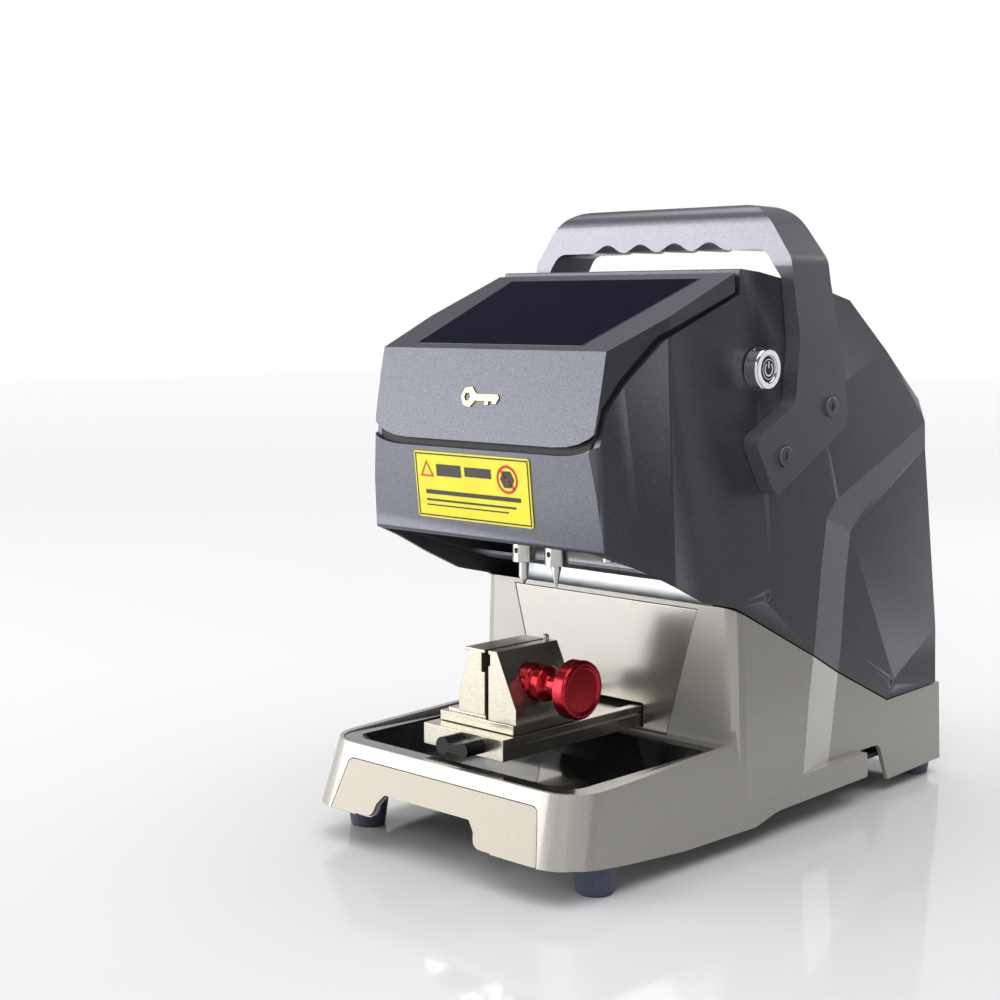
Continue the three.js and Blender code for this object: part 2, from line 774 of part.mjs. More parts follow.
function fingerTool() {
  const half = (FINGERS * FINGER_PITCH) / 2;
  const low = HANDLE_TOP_Z - GRIP_HEIGHT;
  const steps = FINGERS * 10;
  const wave = Array.from({ length: steps + 1 }, (_, i) => {
    const turn = (FINGERS * 2 * Math.PI * i) / steps;
    return [(2 * half * i) / steps - half, low + (FINGER_DEPTH * (1 - Math.cos(turn))) / 2];
  });
  return prismY([...wave, [half, low - 12], [-half, low - 12]], WALL_Y, WALL_Y + 140);
}

function makeHandle() {
  const side = [
    [WALL_Y + 50, 341, 40],
    [WALL_Y + 55, 296, 40],
    [WALL_Y + 49.5, 259, 12],
    [WALL_Y + 8.5, 240, 7],
    [WALL_Y + 28, 205, 8],
    [WALL_Y + 105.5, 245, 12],
    [WALL_Y + 102.5, 276, 30],
    [WALL_Y + 90, 330, 30],
    [WALL_Y + 84, HANDLE_TOP_Z + 0.5, 12],
    [WALL_Y + 52, HANDLE_TOP_Z + 0.5, 14],
  ];
  const bail = common(prismY(handleFront(), WALL_Y - 20, WALL_Y + 130, 12), prismX(side, -140, 140, 10));
  const pockets = HANDLE_SCREWS.flatMap(([y, z]) =>
    [-1, 1].map((s) =>
      join(
        bar("x", HANDLE_SCREW_R + GAP, screwSeat(z), 130, [0, y, z]),
        bar("x", 3.2, 60, 130, [0, y, z]),
      ).scale([s, 1, 1]),
    ),
  );
  return cut(bail, headSkin(-GAP), fingerTool(), ...pockets);
}

const screwSeat = (z) => halfWidth(z) + ARM_GAP + HANDLE_THICK - 3;

function makeHandleScrew(side, y, z) {
  const seat = screwSeat(z) + GAP;
  const head = bar("x", HANDLE_SCREW_R, seat, seat + 4, [0, y, z]);
  const shank = bar("x", 2.8, seat - 16, seat + 1, [0, y, z], 16);
  const socket = bar("x", 3, seat + 1.6, seat + 6, [0, y, z], 6);
  return cut(join(head, shank), socket).scale([side, 1, 1]);
}

// ---------- power button ----------

const BUTTON_FOOT = halfWidth(BUTTON_Z) + 0.5; // the cover's side, where the bezel's flange rests
const BUTTON_FACE = BUTTON_FOOT + BUTTON_OUT;

function makeBezel() {
  const ring = [
    [BUTTON_R + RUN, BUTTON_FOOT - 16],
    [9.5, BUTTON_FOOT - 16],
    [9.5, BUTTON_FOOT],
    [BEZEL_R, BUTTON_FOOT],
    [BEZEL_R, BUTTON_FACE - 1],
    [BEZEL_R - 1, BUTTON_FACE],
    [BUTTON_R + 1, BUTTON_FACE],
    [BUTTON_R + RUN, BUTTON_FACE - 0.8],
    [BUTTON_R + RUN, BUTTON_FOOT - 16],
  ];
  const flats = [-1, 1].map((s) => {
    const near = BUTTON_Z + s * (BEZEL_R - 1.6);
    const far = BUTTON_Z + s * (BEZEL_R + 2);
    const span = [Math.min(near, far), Math.max(near, far)];
    return block(BUTTON_FOOT + 2, BUTTON_FACE + 1, BUTTON_Y - BEZEL_R, BUTTON_Y + BEZEL_R, ...span);
  });
  return cut(turnedSolid("x", ring, [0, BUTTON_Y, BUTTON_Z], 32), ...flats);
}

function makeButtonCap() {
  const cap = [
    [BUTTON_R, BUTTON_FOOT - 12],
    [BUTTON_R, BUTTON_FACE - 0.9],
    [BUTTON_R - 0.8, BUTTON_FACE - 0.2],
  ];
  return turnedSolid("x", cap, [0, BUTTON_Y, BUTTON_Z], 32);
}

// ---------- clamp ----------

const CLAMP_BASE_TOP = CARRIAGE_TOP + 6;
const JAW_BACK_Y = JAW_FRONT_Y + JAW_DEPTH;
const MEET_X = 7; // the plane of the fixed jaw's gripping face
const JAW_X = MEET_X + JAW_GAP;

// The plate rides in and out of the slot in the wall, on its rail behind it.
function makeCarriagePlate() {
  const plate = block(-CARRIAGE_HALF, CARRIAGE_HALF, CARRIAGE_Y, WALL_Y + 66, CARRIAGE_Z, CARRIAGE_TOP);
  const rebate = block(-CARRIAGE_HALF + 6, CARRIAGE_HALF - 6, WALL_Y - 50, WALL_Y + 80, CARRIAGE_TOP - 2, 90);
  const grooves = [-1, 1].map((s) =>
    block(s * CARRIAGE_HALF - 0.8, s * CARRIAGE_HALF + 0.8, CARRIAGE_Y + 18, WALL_Y + 70, 70, 71.2),
  );
  return cut(plate, rebate, ...grooves);
}

// A dog-bone section bar that stands out of the carriage's front.
const BAR_LENGTH = 14;

function makeCarriageBar() {
  const z = CARRIAGE_Z + 6.2;
  const end = CARRIAGE_Y - GAP;
  const start = end - BAR_LENGTH;
  const large = bar("y", 5.2, start, end, [-2, 0, z], 28);
  const small = bar("y", 4.2, start, end, [14, 0, z], 28);
  return join(large, small, block(-2, 14, start, end, z - 3, z + 2.6));
}

function makeClampBase() {
  const half = CARRIAGE_HALF - 2.5;
  const low = CARRIAGE_TOP + GAP;
  const sole = block(-half, half, JAW_FRONT_Y, JAW_BACK_Y + 6, low, CLAMP_BASE_TOP);
  const top = CLAMP_BASE_TOP + 2;
  return join(sole, block(-half + 4, MEET_X - 2, JAW_FRONT_Y + 3, JAW_BACK_Y, CLAMP_BASE_TOP - 1, top));
}

function makeFixedJaw() {
  const low = CLAMP_BASE_TOP + 2 + GAP;
  const wall = [
    [-14, low],
    [MEET_X, low],
    [MEET_X, JAW_TOP_Z - 13],
    [MEET_X - 2.6, JAW_TOP_Z - 13],
    [MEET_X - 2.6, JAW_TOP_Z - 2],
    [MEET_X, JAW_TOP_Z - 2],
    [MEET_X, JAW_TOP_Z],
    [-9, JAW_TOP_Z],
    [-9, JAW_TOP_Z - 2],
    [-4.5, JAW_TOP_Z - 2],
    [-14, low + 12],
  ];
  const body = prismY(wall, JAW_FRONT_Y, JAW_BACK_Y);
  return cut(body, bar("x", SCREW_R + RUN, -40, 40, [0, CLAMP_Y, KNOB_Z]));
}

function makeMovableJaw() {
  const low = CLAMP_BASE_TOP + GAP;
  const right = CARRIAGE_HALF - 0.5;
  const wall = [
    [JAW_X, low],
    [right, low],
    [right, 90],
    [JAW_X + 6.5, JAW_TOP_Z],
    [JAW_X, JAW_TOP_Z],
    [JAW_X, JAW_TOP_Z - 2],
    [JAW_X + 1.4, JAW_TOP_Z - 2],
    [JAW_X + 1.4, JAW_TOP_Z - 9],
    [JAW_X, JAW_TOP_Z - 9],
  ];
  const body = prismY(wall, JAW_FRONT_Y, JAW_BACK_Y);
  const bore = bar("x", SCREW_R + RUN, 0, 60, [0, CLAMP_Y, KNOB_Z]);
  const seat = bar("x", 10.8, JAW_X + 10, 60, [0, CLAMP_Y, KNOB_Z], 32);
  return cut(body, bore, seat, bar("z", 2.1, 110, 130, [PIN_X, PIN_Y, 0], 16));
}

const PIN_X = JAW_X + 3.2;
const PIN_Y = JAW_BACK_Y - 6;

function makeStopPin() {
  const profile = [[1.8, 111], [1.8, JAW_TOP_Z + 3], [1, JAW_TOP_Z + 4]];
  return turnedSolid("z", profile, [PIN_X, PIN_Y, 0], 16);
}

// The knob, its collar and the clamping screw are one turned piece.
function makeKnob() {
  const collar = JAW_X + 10 + GAP;
  const end = KNOB_X + KNOB_THICK;
  const profile = [
    [SCREW_R, -22],
    [SCREW_R, collar],
    [10.5, collar],
    [10.5, collar + 8],
    [8.6, collar + 9.4],
    [10.5, collar + 11],
    [10.5, collar + 17],
    [6.5, collar + 20],
    [6.5, KNOB_X - 4],
    [KNOB_R - 3, KNOB_X],
    [KNOB_R, KNOB_X + 1.2],
    [KNOB_R, end - 1.2],
    [KNOB_R - 1.2, end],
    [KNOB_R - 3, end],
    [KNOB_R - 4, end - 1],
  ];
  return turnedSolid("x", profile, [0, CLAMP_Y, KNOB_Z], 24);
}

// ---------- tools and axes ----------

const PROBE_X = -TOOL_PITCH / 2;
const CUTTER_X = TOOL_PITCH / 2;
const BLOCK_LOW = 192;
const BLOCK_TOP = 240;
const SADDLE_Y = WALL_Y - 12; // front of the X saddle
const RAIL_FRONT_Y = SADDLE_Y - GAP - 7.7; // front of the Z rail
const UPRIGHT_Y = WALL_Y + 12;
const MOTOR_R = 15;
const MOTOR_X = -50;
const PULLEY_LOW = BLOCK_TOP + 3;
const DRIVE_PULLEY_R = 12;
const SPINDLE_PULLEY_R = 8;

const makeProbeHolder = () =>
  cut(
    bar("z", HOLDER_R, HOLDER_Z, BLOCK_LOW + 20, [PROBE_X, TOOL_Y, 0]),
    bar("z", TOOL_R + GAP, HOLDER_Z - 1, HOLDER_Z + 22, [PROBE_X, TOOL_Y, 0]),
    bar("y", 1.6, TOOL_Y - 12, TOOL_Y, [PROBE_X, 0, HOLDER_Z + 7], 12),
  );

function toolProfile(tipZ, coneEnd, shankZ) {
  return [[0.5, tipZ], [TOOL_R, coneEnd], [TOOL_R, shankZ]];
}

const makeProbe = () =>
  turnedSolid("z", toolProfile(TOOL_TIP_Z, TOOL_TIP_Z + 5, HOLDER_Z + 20), [PROBE_X, TOOL_Y, 0], 20);
const makeCutter = () =>
  turnedSolid("z", toolProfile(TOOL_TIP_Z, TOOL_TIP_Z + 12, HOLDER_Z + 20), [CUTTER_X, TOOL_Y, 0], 20);

function makeSpindle() {
  const profile = [
    [HOLDER_R, HOLDER_Z],
    [HOLDER_R, BLOCK_TOP - 2],
    [4.5, BLOCK_TOP],
    [4.5, PULLEY_LOW + 17],
  ];
  return cut(
    turnedSolid("z", profile, [CUTTER_X, TOOL_Y, 0], 20),
    bar("z", TOOL_R + GAP, HOLDER_Z - 1, HOLDER_Z + 22, [CUTTER_X, TOOL_Y, 0]),
    bar("y", 1.6, TOOL_Y - 12, TOOL_Y, [CUTTER_X, 0, HOLDER_Z + 7], 12),
  );
}

function pulley(x, y, radius, bore) {
  const high = PULLEY_LOW + 12;
  const profile = [
    [bore, PULLEY_LOW],
    [radius + 2, PULLEY_LOW],
    [radius + 2, PULLEY_LOW + 1.5],
    [radius, PULLEY_LOW + 1.5],
    [radius, high - 1.5],
    [radius + 2, high - 1.5],
    [radius + 2, high],
    [bore, high],
    [bore, PULLEY_LOW],
  ];
  return turnedSolid("z", profile, [x, y, 0], 20);
}

// The belt's path is the outline round both pulleys, a belt's thickness outside them.
const MOTOR_Y = TOOL_Y + 12;
const BELT_THICK = 1.4;

function beltLoop(off) {
  const run = Math.hypot(CUTTER_X - MOTOR_X, TOOL_Y - MOTOR_Y);
  const facing = Math.atan2(TOOL_Y - MOTOR_Y, CUTTER_X - MOTOR_X);
  const spread = Math.acos((DRIVE_PULLEY_R - SPINDLE_PULLEY_R) / run);
  const loop = new THREE.Shape();
  loop.absarc(MOTOR_X, MOTOR_Y, DRIVE_PULLEY_R + off, facing + spread, facing + Math.PI * 2 - spread, false);
  loop.absarc(CUTTER_X, TOOL_Y, SPINDLE_PULLEY_R + off, facing - spread, facing + spread, false);
  loop.closePath();
  return prismZ(loop, PULLEY_LOW + 2.2, PULLEY_LOW + 9.8, 8);
}

const makeBelt = () => cut(beltLoop(GAP + BELT_THICK), beltLoop(GAP));

function makeSpindleBlock() {
  const main = block(-34, 34, TOOL_Y - 14, RAIL_FRONT_Y + 5, BLOCK_LOW, BLOCK_TOP);
  const ear = block(MOTOR_X - MOTOR_R - 3, -30, TOOL_Y - 8, MOTOR_Y + MOTOR_R + 2, BLOCK_LOW + 13, BLOCK_TOP);
  const guide = block(-8 - RUN, 8 + RUN, RAIL_FRONT_Y - RUN, WALL_Y, BLOCK_LOW - 5, BLOCK_TOP + 5);
  return cut(
    join(main, ear),
    guide,
    bar("z", LEAD_R + RUN, 100, 300, [22, Z_SCREW_Y, 0]),
    bar("z", HOLDER_R + GAP, 100, 300, [PROBE_X, TOOL_Y, 0]),
    bar("z", HOLDER_R + RUN, 100, 300, [CUTTER_X, TOOL_Y, 0]),
    bar("z", MOTOR_R + GAP, 100, 300, [MOTOR_X, MOTOR_Y, 0]),
  );
}

const Z_SCREW_Y = RAIL_FRONT_Y + 0.5;

function makeSpindleMotor() {
  const shaft = [[2.5, BLOCK_TOP + 1], [2.5, PULLEY_LOW + 11]];
  const profile = [[MOTOR_R, BLOCK_LOW + 4], [MOTOR_R, BLOCK_TOP + 1], ...shaft];
  return turnedSolid("z", profile, [MOTOR_X, MOTOR_Y, 0]);
}

const X_RAIL_Z = [209, 251];
const X_SCREW_Z = 230;
const X_SCREW_Y = WALL_Y - 6;

function makeSaddle() {
  const plate = block(-30, 36, SADDLE_Y, WALL_Y + 6, 194, 268);
  const shelf = block(6, 38, SADDLE_Y - 28, SADDLE_Y + 2, 268 - 1, 272);
  const reach = 6 + RUN;
  const front = WALL_Y + 1.7 - RUN;
  const grooves = X_RAIL_Z.map((z) => block(-100, 100, front, WALL_Y + 20, z - reach, z + reach));
  return cut(
    join(plate, shelf),
    ...grooves,
    bar("x", LEAD_R + RUN, -100, 100, [0, X_SCREW_Y, X_SCREW_Z]),
    bar("z", LEAD_R + 1, 150, 300, [22, Z_SCREW_Y, 0]),
  );
}

const makeZRail = () => block(-8, 8, RAIL_FRONT_Y, SADDLE_Y - GAP, 194, 264);
const makeZScrew = () => bar("z", LEAD_R, 164, 272, [22, Z_SCREW_Y, 0], 16);

function makeMotor(axis, size, from, to, at) {
  const half = size / 2;
  const face = outline([
    [-half, -half, 4],
    [half, -half, 4],
    [half, half, 4],
    [-half, half, 4],
  ]);
  const body = new THREE.ExtrudeGeometry(face, { depth: to - from, bevelEnabled: false, curveSegments: 3 });
  return solid(along[axis](body.translate(0, 0, from)).translate(...at));
}

// ---------- inside the column ----------

const PLATE_LOW = PAN_Z + 3 + GAP;
const PLATE_TOP = PLATE_LOW + 6;

// One L of machined plate: the foot carries the Y rail and the upright carries the two X rails.
function makeMachineFrame() {
  const foot = block(-70, 70, UPRIGHT_Y, BACK - 30, PLATE_LOW, PLATE_TOP);
  const upright = block(-76, 76, UPRIGHT_Y, UPRIGHT_Y + 10, PLATE_LOW, 284);
  const window = block(-44, 44, UPRIGHT_Y - 5, UPRIGHT_Y + 15, PLATE_TOP, CARRIAGE_TOP + 20);
  return cut(join(foot, upright), window);
}

const xRail = (z) => block(-80, 80, WALL_Y + 1.7, UPRIGHT_Y - GAP, z - 6, z + 6);
const Y_SCREW_X = 33;
const Y_SCREW_Z = 50;
const RAIL_LOW = PLATE_TOP + GAP;
const makeYRail = () => block(-RAIL_HALF, RAIL_HALF, UPRIGHT_Y - 2, WALL_Y + 170, RAIL_LOW, Y_SCREW_Z - 1);

function makeYBlock() {
  const body = block(-22, 43, WALL_Y + 24, WALL_Y + 66, Y_SCREW_Z - 8, CARRIAGE_Z - GAP);
  const guide = block(-RAIL_HALF - RUN, RAIL_HALF + RUN, WALL_Y, WALL_Y + 90, 20, Y_SCREW_Z - 1 + RUN);
  return cut(body, guide, bar("y", LEAD_R + RUN, -250, 250, [Y_SCREW_X, 0, Y_SCREW_Z]));
}

// ---------- electrics ----------

function makePowerSupply() {
  const right = -CARRIAGE_HALF - 6;
  return block(right - 48, right, UPRIGHT_Y + 14, UPRIGHT_Y + 118, PLATE_TOP + GAP, PLATE_TOP + 38);
}

const backFace = (z) => BACK - 4 - (z - 63) * 0.1384;

function rearSlab(points, outer, inner) {
  const slab = [
    [backFace(40) - outer, 40],
    [backFace(40) - inner, 40],
    [backFace(222) - inner, 222],
    [backFace(222) - outer, 222],
  ];
  return common(prismY(points, BACK - 80, BACK + 20), prismX(slab, -140, 140));
}

const INLET_X = -30;
const PORT_X = 30;
const SOCKET_Z = 96;

function makeRearPanel() {
  const vents = Array.from({ length: 8 }, (_, i) => {
    const z = 124 + i * 8.5;
    const slit = [[-30, z, 1.6], [30, z, 1.6], [30, z + 4, 1.6], [-30, z + 4, 1.6]];
    return prismY(slit, BACK - 80, BACK + 20, 2);
  });
  const hole = (x, halfX, halfZ) =>
    block(x - halfX, x + halfX, BACK - 80, BACK + 20, SOCKET_Z - halfZ, SOCKET_Z + halfZ);
  const inlet = hole(INLET_X, 14 + GAP, 10 + GAP);
  const port = hole(PORT_X, 7 + GAP, 4 + GAP);
  return cut(rearSlab(rearPanelOutline(0), 0.2, 2.8), ...vents, inlet, port);
}

function makeInlet() {
  const y = backFace(SOCKET_Z) - 0.5;
  const shell = block(INLET_X - 14, INLET_X + 14, y - 24, y, SOCKET_Z - 10, SOCKET_Z + 10);
  const mouth = block(INLET_X - 11, INLET_X + 11, y - 16, y + 5, SOCKET_Z - 7, SOCKET_Z + 7);
  const pin = block(INLET_X - 1, INLET_X + 1, y - 18, y - 4, SOCKET_Z - 2, SOCKET_Z + 2);
  const pins = [-6, 0, 6].map((x) => pin.translate([x, 0, 0]));
  return join(cut(shell, mouth), ...pins);
}

function makePort() {
  const y = backFace(SOCKET_Z) - 0.5;
  const shell = block(PORT_X - 7, PORT_X + 7, y - 16, y, SOCKET_Z - 4, SOCKET_Z + 4);
  const mouth = block(PORT_X - 6, PORT_X + 6, y - 12, y + 5, SOCKET_Z - 3, SOCKET_Z + 3);
  const tongue = block(PORT_X - 5, PORT_X + 5, y - 13, y - 2, SOCKET_Z, SOCKET_Z + 2);
  return join(cut(shell, mouth), tongue);
}

const FAN_Z = 152;
const FAN_Y = BACK - 40;
const FAN_DEEP = 15;

function makeFanFrame() {
  const half = 30;
  const square = outline([
    [-half, FAN_Z - half, 4],
    [half, FAN_Z - half, 4],
    [half, FAN_Z + half, 4],
    [-half, FAN_Z + half, 4],
  ]);
  const end = FAN_Y + FAN_DEEP;
  const slab = prismY(square, FAN_Y, end);
  const strut = block(-29, 0, end - 2, end, -1.5, 1.5);
  const struts = [30, 150, 270].map((angle) => strut.rotate([0, angle, 0]).translate([0, 0, FAN_Z]));
  const hub = bar("y", 11, end - 2, end, [0, 0, FAN_Z], 20);
  const casing = cut(slab, bar("y", 28, FAN_Y - 5, end + 5, [0, 0, FAN_Z], 40));
  return join(casing, hub, ...struts);
}

function makeFanRotor() {
  const hub = bar("y", 12, FAN_Y + 1, FAN_Y + FAN_DEEP - 3, [0, 0, FAN_Z], 24);
  const blades = Array.from({ length: 7 }, (_, i) =>
    block(10, 26, -5.5, 5.5, -0.7, 0.7)
      .rotate([35, 0, 0])
      .rotate([0, (360 / 7) * i, 0])
      .translate([0, FAN_Y + 6.5, FAN_Z]),
  );
  return join(hub, ...blades);
}

// ---------- assembly ----------

add("base_housing", makeCasting(), ...FINISH.casting);
add("front_apron", makeApron(), ...FINISH.apron);
add("chip_tray", makeTray(), ...FINISH.darkSteel);
add("wall_panel", makeWallPanel(), ...FINISH.casting);
add("base_pan", makeBasePan(), ...FINISH.motor);
["front_left", "front_right", "rear_left", "rear_right"].forEach((place, i) => {
  const profile = [[FOOT_TIP_R, 0], [FOOT_R, FOOT_HEIGHT - 4], [FOOT_R, FOOT_HEIGHT]];
  add("foot_" + place, turnedSolid("z", profile, [...FOOT_PLACES[i], 0]), ...FINISH.rubber);
});

add("head_housing", makeHead(), ...FINISH.graphite);
add("head_floor", makeHeadFloor(), ...FINISH.graphite);
add("display_pod", makePod(), ...FINISH.graphite);
add("pod_gasket", makeGasket(), ...FINISH.satinBlack);
add("touch_screen", deckPlate(glassPlan(0), 0.3, -GLASS_THICK), ...FINISH.glass);
add("display_module", makeDisplayModule(), ...FINISH.board);
add("front_badge", makeBadge(), ...FINISH.gold);
add("label_plate", makeLabel(), ...FINISH.yellow);

add("carry_handle", makeHandle(), ...FINISH.satinBlack);
for (const [side, word] of [[-1, "left"], [1, "right"]]) {
  HANDLE_SCREWS.forEach(([y, z], i) =>
    add(`handle_screw_${word}_${i + 1}`, makeHandleScrew(side, y, z), ...FINISH.darkSteel),
  );
}
add("button_bezel", makeBezel(), ...FINISH.chrome);
add("button_cap", makeButtonCap(), ...FINISH.satinBlack);

add("carriage_plate", makeCarriagePlate(), ...FINISH.steel);
add("carriage_bar", makeCarriageBar(), ...FINISH.darkSteel);
add("clamp_base", makeClampBase(), ...FINISH.steel);
add("fixed_jaw", makeFixedJaw(), ...FINISH.steel);
add("movable_jaw", makeMovableJaw(), ...FINISH.steel);
add("stop_pin", makeStopPin(), ...FINISH.steel);
add("clamp_knob", makeKnob(), ...FINISH.red);

add("probe_holder", makeProbeHolder(), ...FINISH.steel);
add("probe", makeProbe(), ...FINISH.darkSteel);
add("cutter_spindle", makeSpindle(), ...FINISH.steel);
add("cutter", makeCutter(), ...FINISH.steel);
add("spindle_pulley", pulley(CUTTER_X, TOOL_Y, SPINDLE_PULLEY_R, 4.5 + GAP), ...FINISH.aluminium);
add("motor_pulley", pulley(MOTOR_X, MOTOR_Y, DRIVE_PULLEY_R, 2.5 + GAP), ...FINISH.aluminium);
add("drive_belt", makeBelt(), ...FINISH.rubber);
add("spindle_motor", makeSpindleMotor(), ...FINISH.motor);
add("spindle_block", makeSpindleBlock(), ...FINISH.aluminium);
add("z_rail", makeZRail(), ...FINISH.steel);
add("z_screw", makeZScrew(), ...FINISH.steel);
add("z_motor", makeMotor("z", MOTOR_SMALL, 272 + GAP, 297, [22, Z_SCREW_Y, 0]), ...FINISH.motor);
add("x_saddle", makeSaddle(), ...FINISH.aluminium);
X_RAIL_Z.forEach((z, i) => add(`x_rail_${i + 1}`, xRail(z), ...FINISH.steel));
add("x_screw", bar("x", LEAD_R, -56, 62, [0, X_SCREW_Y, X_SCREW_Z], 16), ...FINISH.steel);
add("x_motor", makeMotor("x", MOTOR_SMALL, -88, -56 - GAP, [0, X_SCREW_Y - 4, X_SCREW_Z]), ...FINISH.motor);

add("machine_frame", makeMachineFrame(), ...FINISH.aluminium);
add("y_rail", makeYRail(), ...FINISH.steel);
add("y_block", makeYBlock(), ...FINISH.aluminium);
add("y_screw", bar("y", LEAD_R, WALL_Y + 8, WALL_Y + 122, [Y_SCREW_X, 0, Y_SCREW_Z], 16), ...FINISH.steel);
const Y_MOTOR_AT = [Y_SCREW_X, 0, PLATE_TOP + GAP + MOTOR_LARGE / 2];
add("y_motor", makeMotor("y", MOTOR_LARGE, WALL_Y + 122 + GAP, WALL_Y + 162, Y_MOTOR_AT), ...FINISH.motor);
add("control_board", block(-60, 60, BACK - 58, BACK - 56, 200, 262), ...FINISH.board);
add("power_supply", makePowerSupply(), ...FINISH.aluminium);
add("rear_panel", makeRearPanel(), ...FINISH.graphite);
add("power_inlet", makeInlet(), ...FINISH.satinBlack);
add("usb_port", makePort(), ...FINISH.chrome);
add("fan_frame", makeFanFrame(), ...FINISH.satinBlack);
add("fan_rotor", makeFanRotor(), ...FINISH.satinBlack);

export default root;
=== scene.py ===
"""A bench-top electronic key duplicating machine: a painted casting with a chip tray and a key clamp, under a
graphite cover with a touch screen, a carrying handle, a probe and a cutter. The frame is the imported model's, in
metres. The machine's own sizes here are in millimetres and the studio's in metres."""
import json
import math

import bmesh
import bpy
from mathutils import Matrix, Vector


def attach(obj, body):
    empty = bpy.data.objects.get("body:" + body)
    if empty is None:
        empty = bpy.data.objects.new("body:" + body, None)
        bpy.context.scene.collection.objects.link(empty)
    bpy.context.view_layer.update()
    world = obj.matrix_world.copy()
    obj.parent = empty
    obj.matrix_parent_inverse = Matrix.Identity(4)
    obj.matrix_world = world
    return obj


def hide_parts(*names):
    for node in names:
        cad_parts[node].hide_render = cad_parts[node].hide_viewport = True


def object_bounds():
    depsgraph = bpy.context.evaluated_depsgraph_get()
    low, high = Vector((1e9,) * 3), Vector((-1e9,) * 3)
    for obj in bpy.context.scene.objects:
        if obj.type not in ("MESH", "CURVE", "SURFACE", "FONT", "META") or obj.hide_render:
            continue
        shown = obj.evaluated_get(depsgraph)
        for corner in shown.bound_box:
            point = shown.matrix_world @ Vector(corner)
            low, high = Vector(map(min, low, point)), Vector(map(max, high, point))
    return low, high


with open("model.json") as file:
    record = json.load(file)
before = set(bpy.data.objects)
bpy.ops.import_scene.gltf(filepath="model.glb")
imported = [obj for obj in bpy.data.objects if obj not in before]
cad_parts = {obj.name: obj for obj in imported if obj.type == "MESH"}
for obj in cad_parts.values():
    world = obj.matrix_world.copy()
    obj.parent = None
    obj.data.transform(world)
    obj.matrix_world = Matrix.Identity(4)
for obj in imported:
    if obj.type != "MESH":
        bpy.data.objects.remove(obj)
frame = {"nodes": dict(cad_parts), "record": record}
cad_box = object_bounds()

# ---------- camera ----------
# A long lens a little above the bench, in front of the machine and to its right.

lens_mm, sensor_mm = 62.3, 36
camera_place = (0.6867, -0.8497, 0.3141)
camera_pitch, camera_turn = 83.73, 43.92

camera = bpy.data.objects.new("camera", bpy.data.cameras.new("camera"))
camera.data.lens = lens_mm
camera.data.sensor_width = sensor_mm
camera.location = camera_place
camera.rotation_euler = (math.radians(camera_pitch), 0, math.radians(camera_turn))
bpy.context.scene.collection.objects.link(camera)
bpy.context.scene.camera = camera
bpy.context.scene.view_settings.view_transform = "Standard"

# ---------- bench top ----------
# A white laminate bench top. The pressed melamine skin is glossy, so the machine mirrors in it at a low angle.

MM = 0.001
SPOT_SPAN = (0.36, 0.64)  # the noise values over which a mottle turns from dark to light
WEAR_SPAN = (0.3, 0.7)  # the noise values over which wear goes from its low to its high roughness


def linear(hexadecimal):
    """An sRGB hex colour as linear RGBA."""
    parts = [int(hexadecimal[i : i + 2], 16) / 255 for i in (1, 3, 5)]
    return [p / 12.92 if p <= 0.04045 else ((p + 0.055) / 1.055) ** 2.4 for p in parts] + [1]


def add(tree, kind, sockets, **settings):
    """A shader node with its settings, and its sockets set to values or linked to other nodes' outputs."""
    node = tree.nodes.new("ShaderNode" + kind)
    for name, value in settings.items():
        setattr(node, name, value)
    for name, value in sockets.items():
        if isinstance(value, bpy.types.NodeSocket):
            tree.links.new(value, node.inputs[name])
        else:
            node.inputs[name].default_value = value
    return node


def new_material(name, colour, metallic, roughness, **sockets):
    """A material with one shader, and the object's own millimetres as a vector for its patterns."""
    material = bpy.data.materials.new(name)
    material.use_nodes = True
    tree = material.node_tree
    shader = tree.nodes["Principled BSDF"]
    shader.inputs["Base Color"].default_value = linear(colour)
    shader.inputs["Metallic"].default_value = metallic
    shader.inputs["Roughness"].default_value = roughness
    for socket, value in sockets.items():
        shader.inputs[socket.replace("_", " ")].default_value = value
    metres = add(tree, "TexCoord", {}).outputs["Object"]
    place = add(tree, "VectorMath", {0: metres, "Scale": 1 / MM}, operation="SCALE")
    return material, tree, shader, place.outputs[0]


def noise(tree, place, spot_mm, detail=2):
    """Noise with a spot about every spot_mm."""
    return add(tree, "TexNoise", {"Vector": place, "Scale": 1 / spot_mm, "Detail": detail}).outputs["Fac"]


def two_colours(tree, value, span, first, second):
    """The first colour turning into the second while the value crosses the span."""
    ramp = add(tree, "ValToRGB", {"Fac": value})
    for stop, position, colour in zip(ramp.color_ramp.elements, span, (first, second)):
        stop.position, stop.color = position, colour
    return ramp.outputs["Color"]


def mottle(tree, shader, place, grain_mm, dark, light):
    """Spots of two colours, one about every grain_mm."""
    spots = noise(tree, place, grain_mm)
    colours = two_colours(tree, spots, SPOT_SPAN, linear(dark), linear(light))
    tree.links.new(colours, shader.inputs["Base Color"])


def relief(tree, shader, place, grain_mm, height_mm):
    """Small bumps, one about every grain_mm."""
    bump = add(tree, "Bump", {"Height": noise(tree, place, grain_mm), "Distance": height_mm * MM})
    tree.links.new(bump.outputs["Normal"], shader.inputs["Normal"])


def wear(tree, shader, place, patch_mm, low, high):
    """A roughness that drifts between two values over patches of patch_mm, as handling leaves it."""
    spread = add(tree, "MapRange", {"Value": noise(tree, place, patch_mm, detail=4), "To Min": low, "To Max": high})
    spread.inputs["From Min"].default_value, spread.inputs["From Max"].default_value = WEAR_SPAN
    tree.links.new(spread.outputs["Result"], shader.inputs["Roughness"])


def formed(name, form, material):
    """A piece from a finished form."""
    mesh = bpy.data.meshes.new(name)
    form.to_mesh(mesh)
    form.free()
    mesh.materials.append(material)
    piece = bpy.data.objects.new(name, mesh)
    bpy.context.scene.collection.objects.link(piece)
    return piece


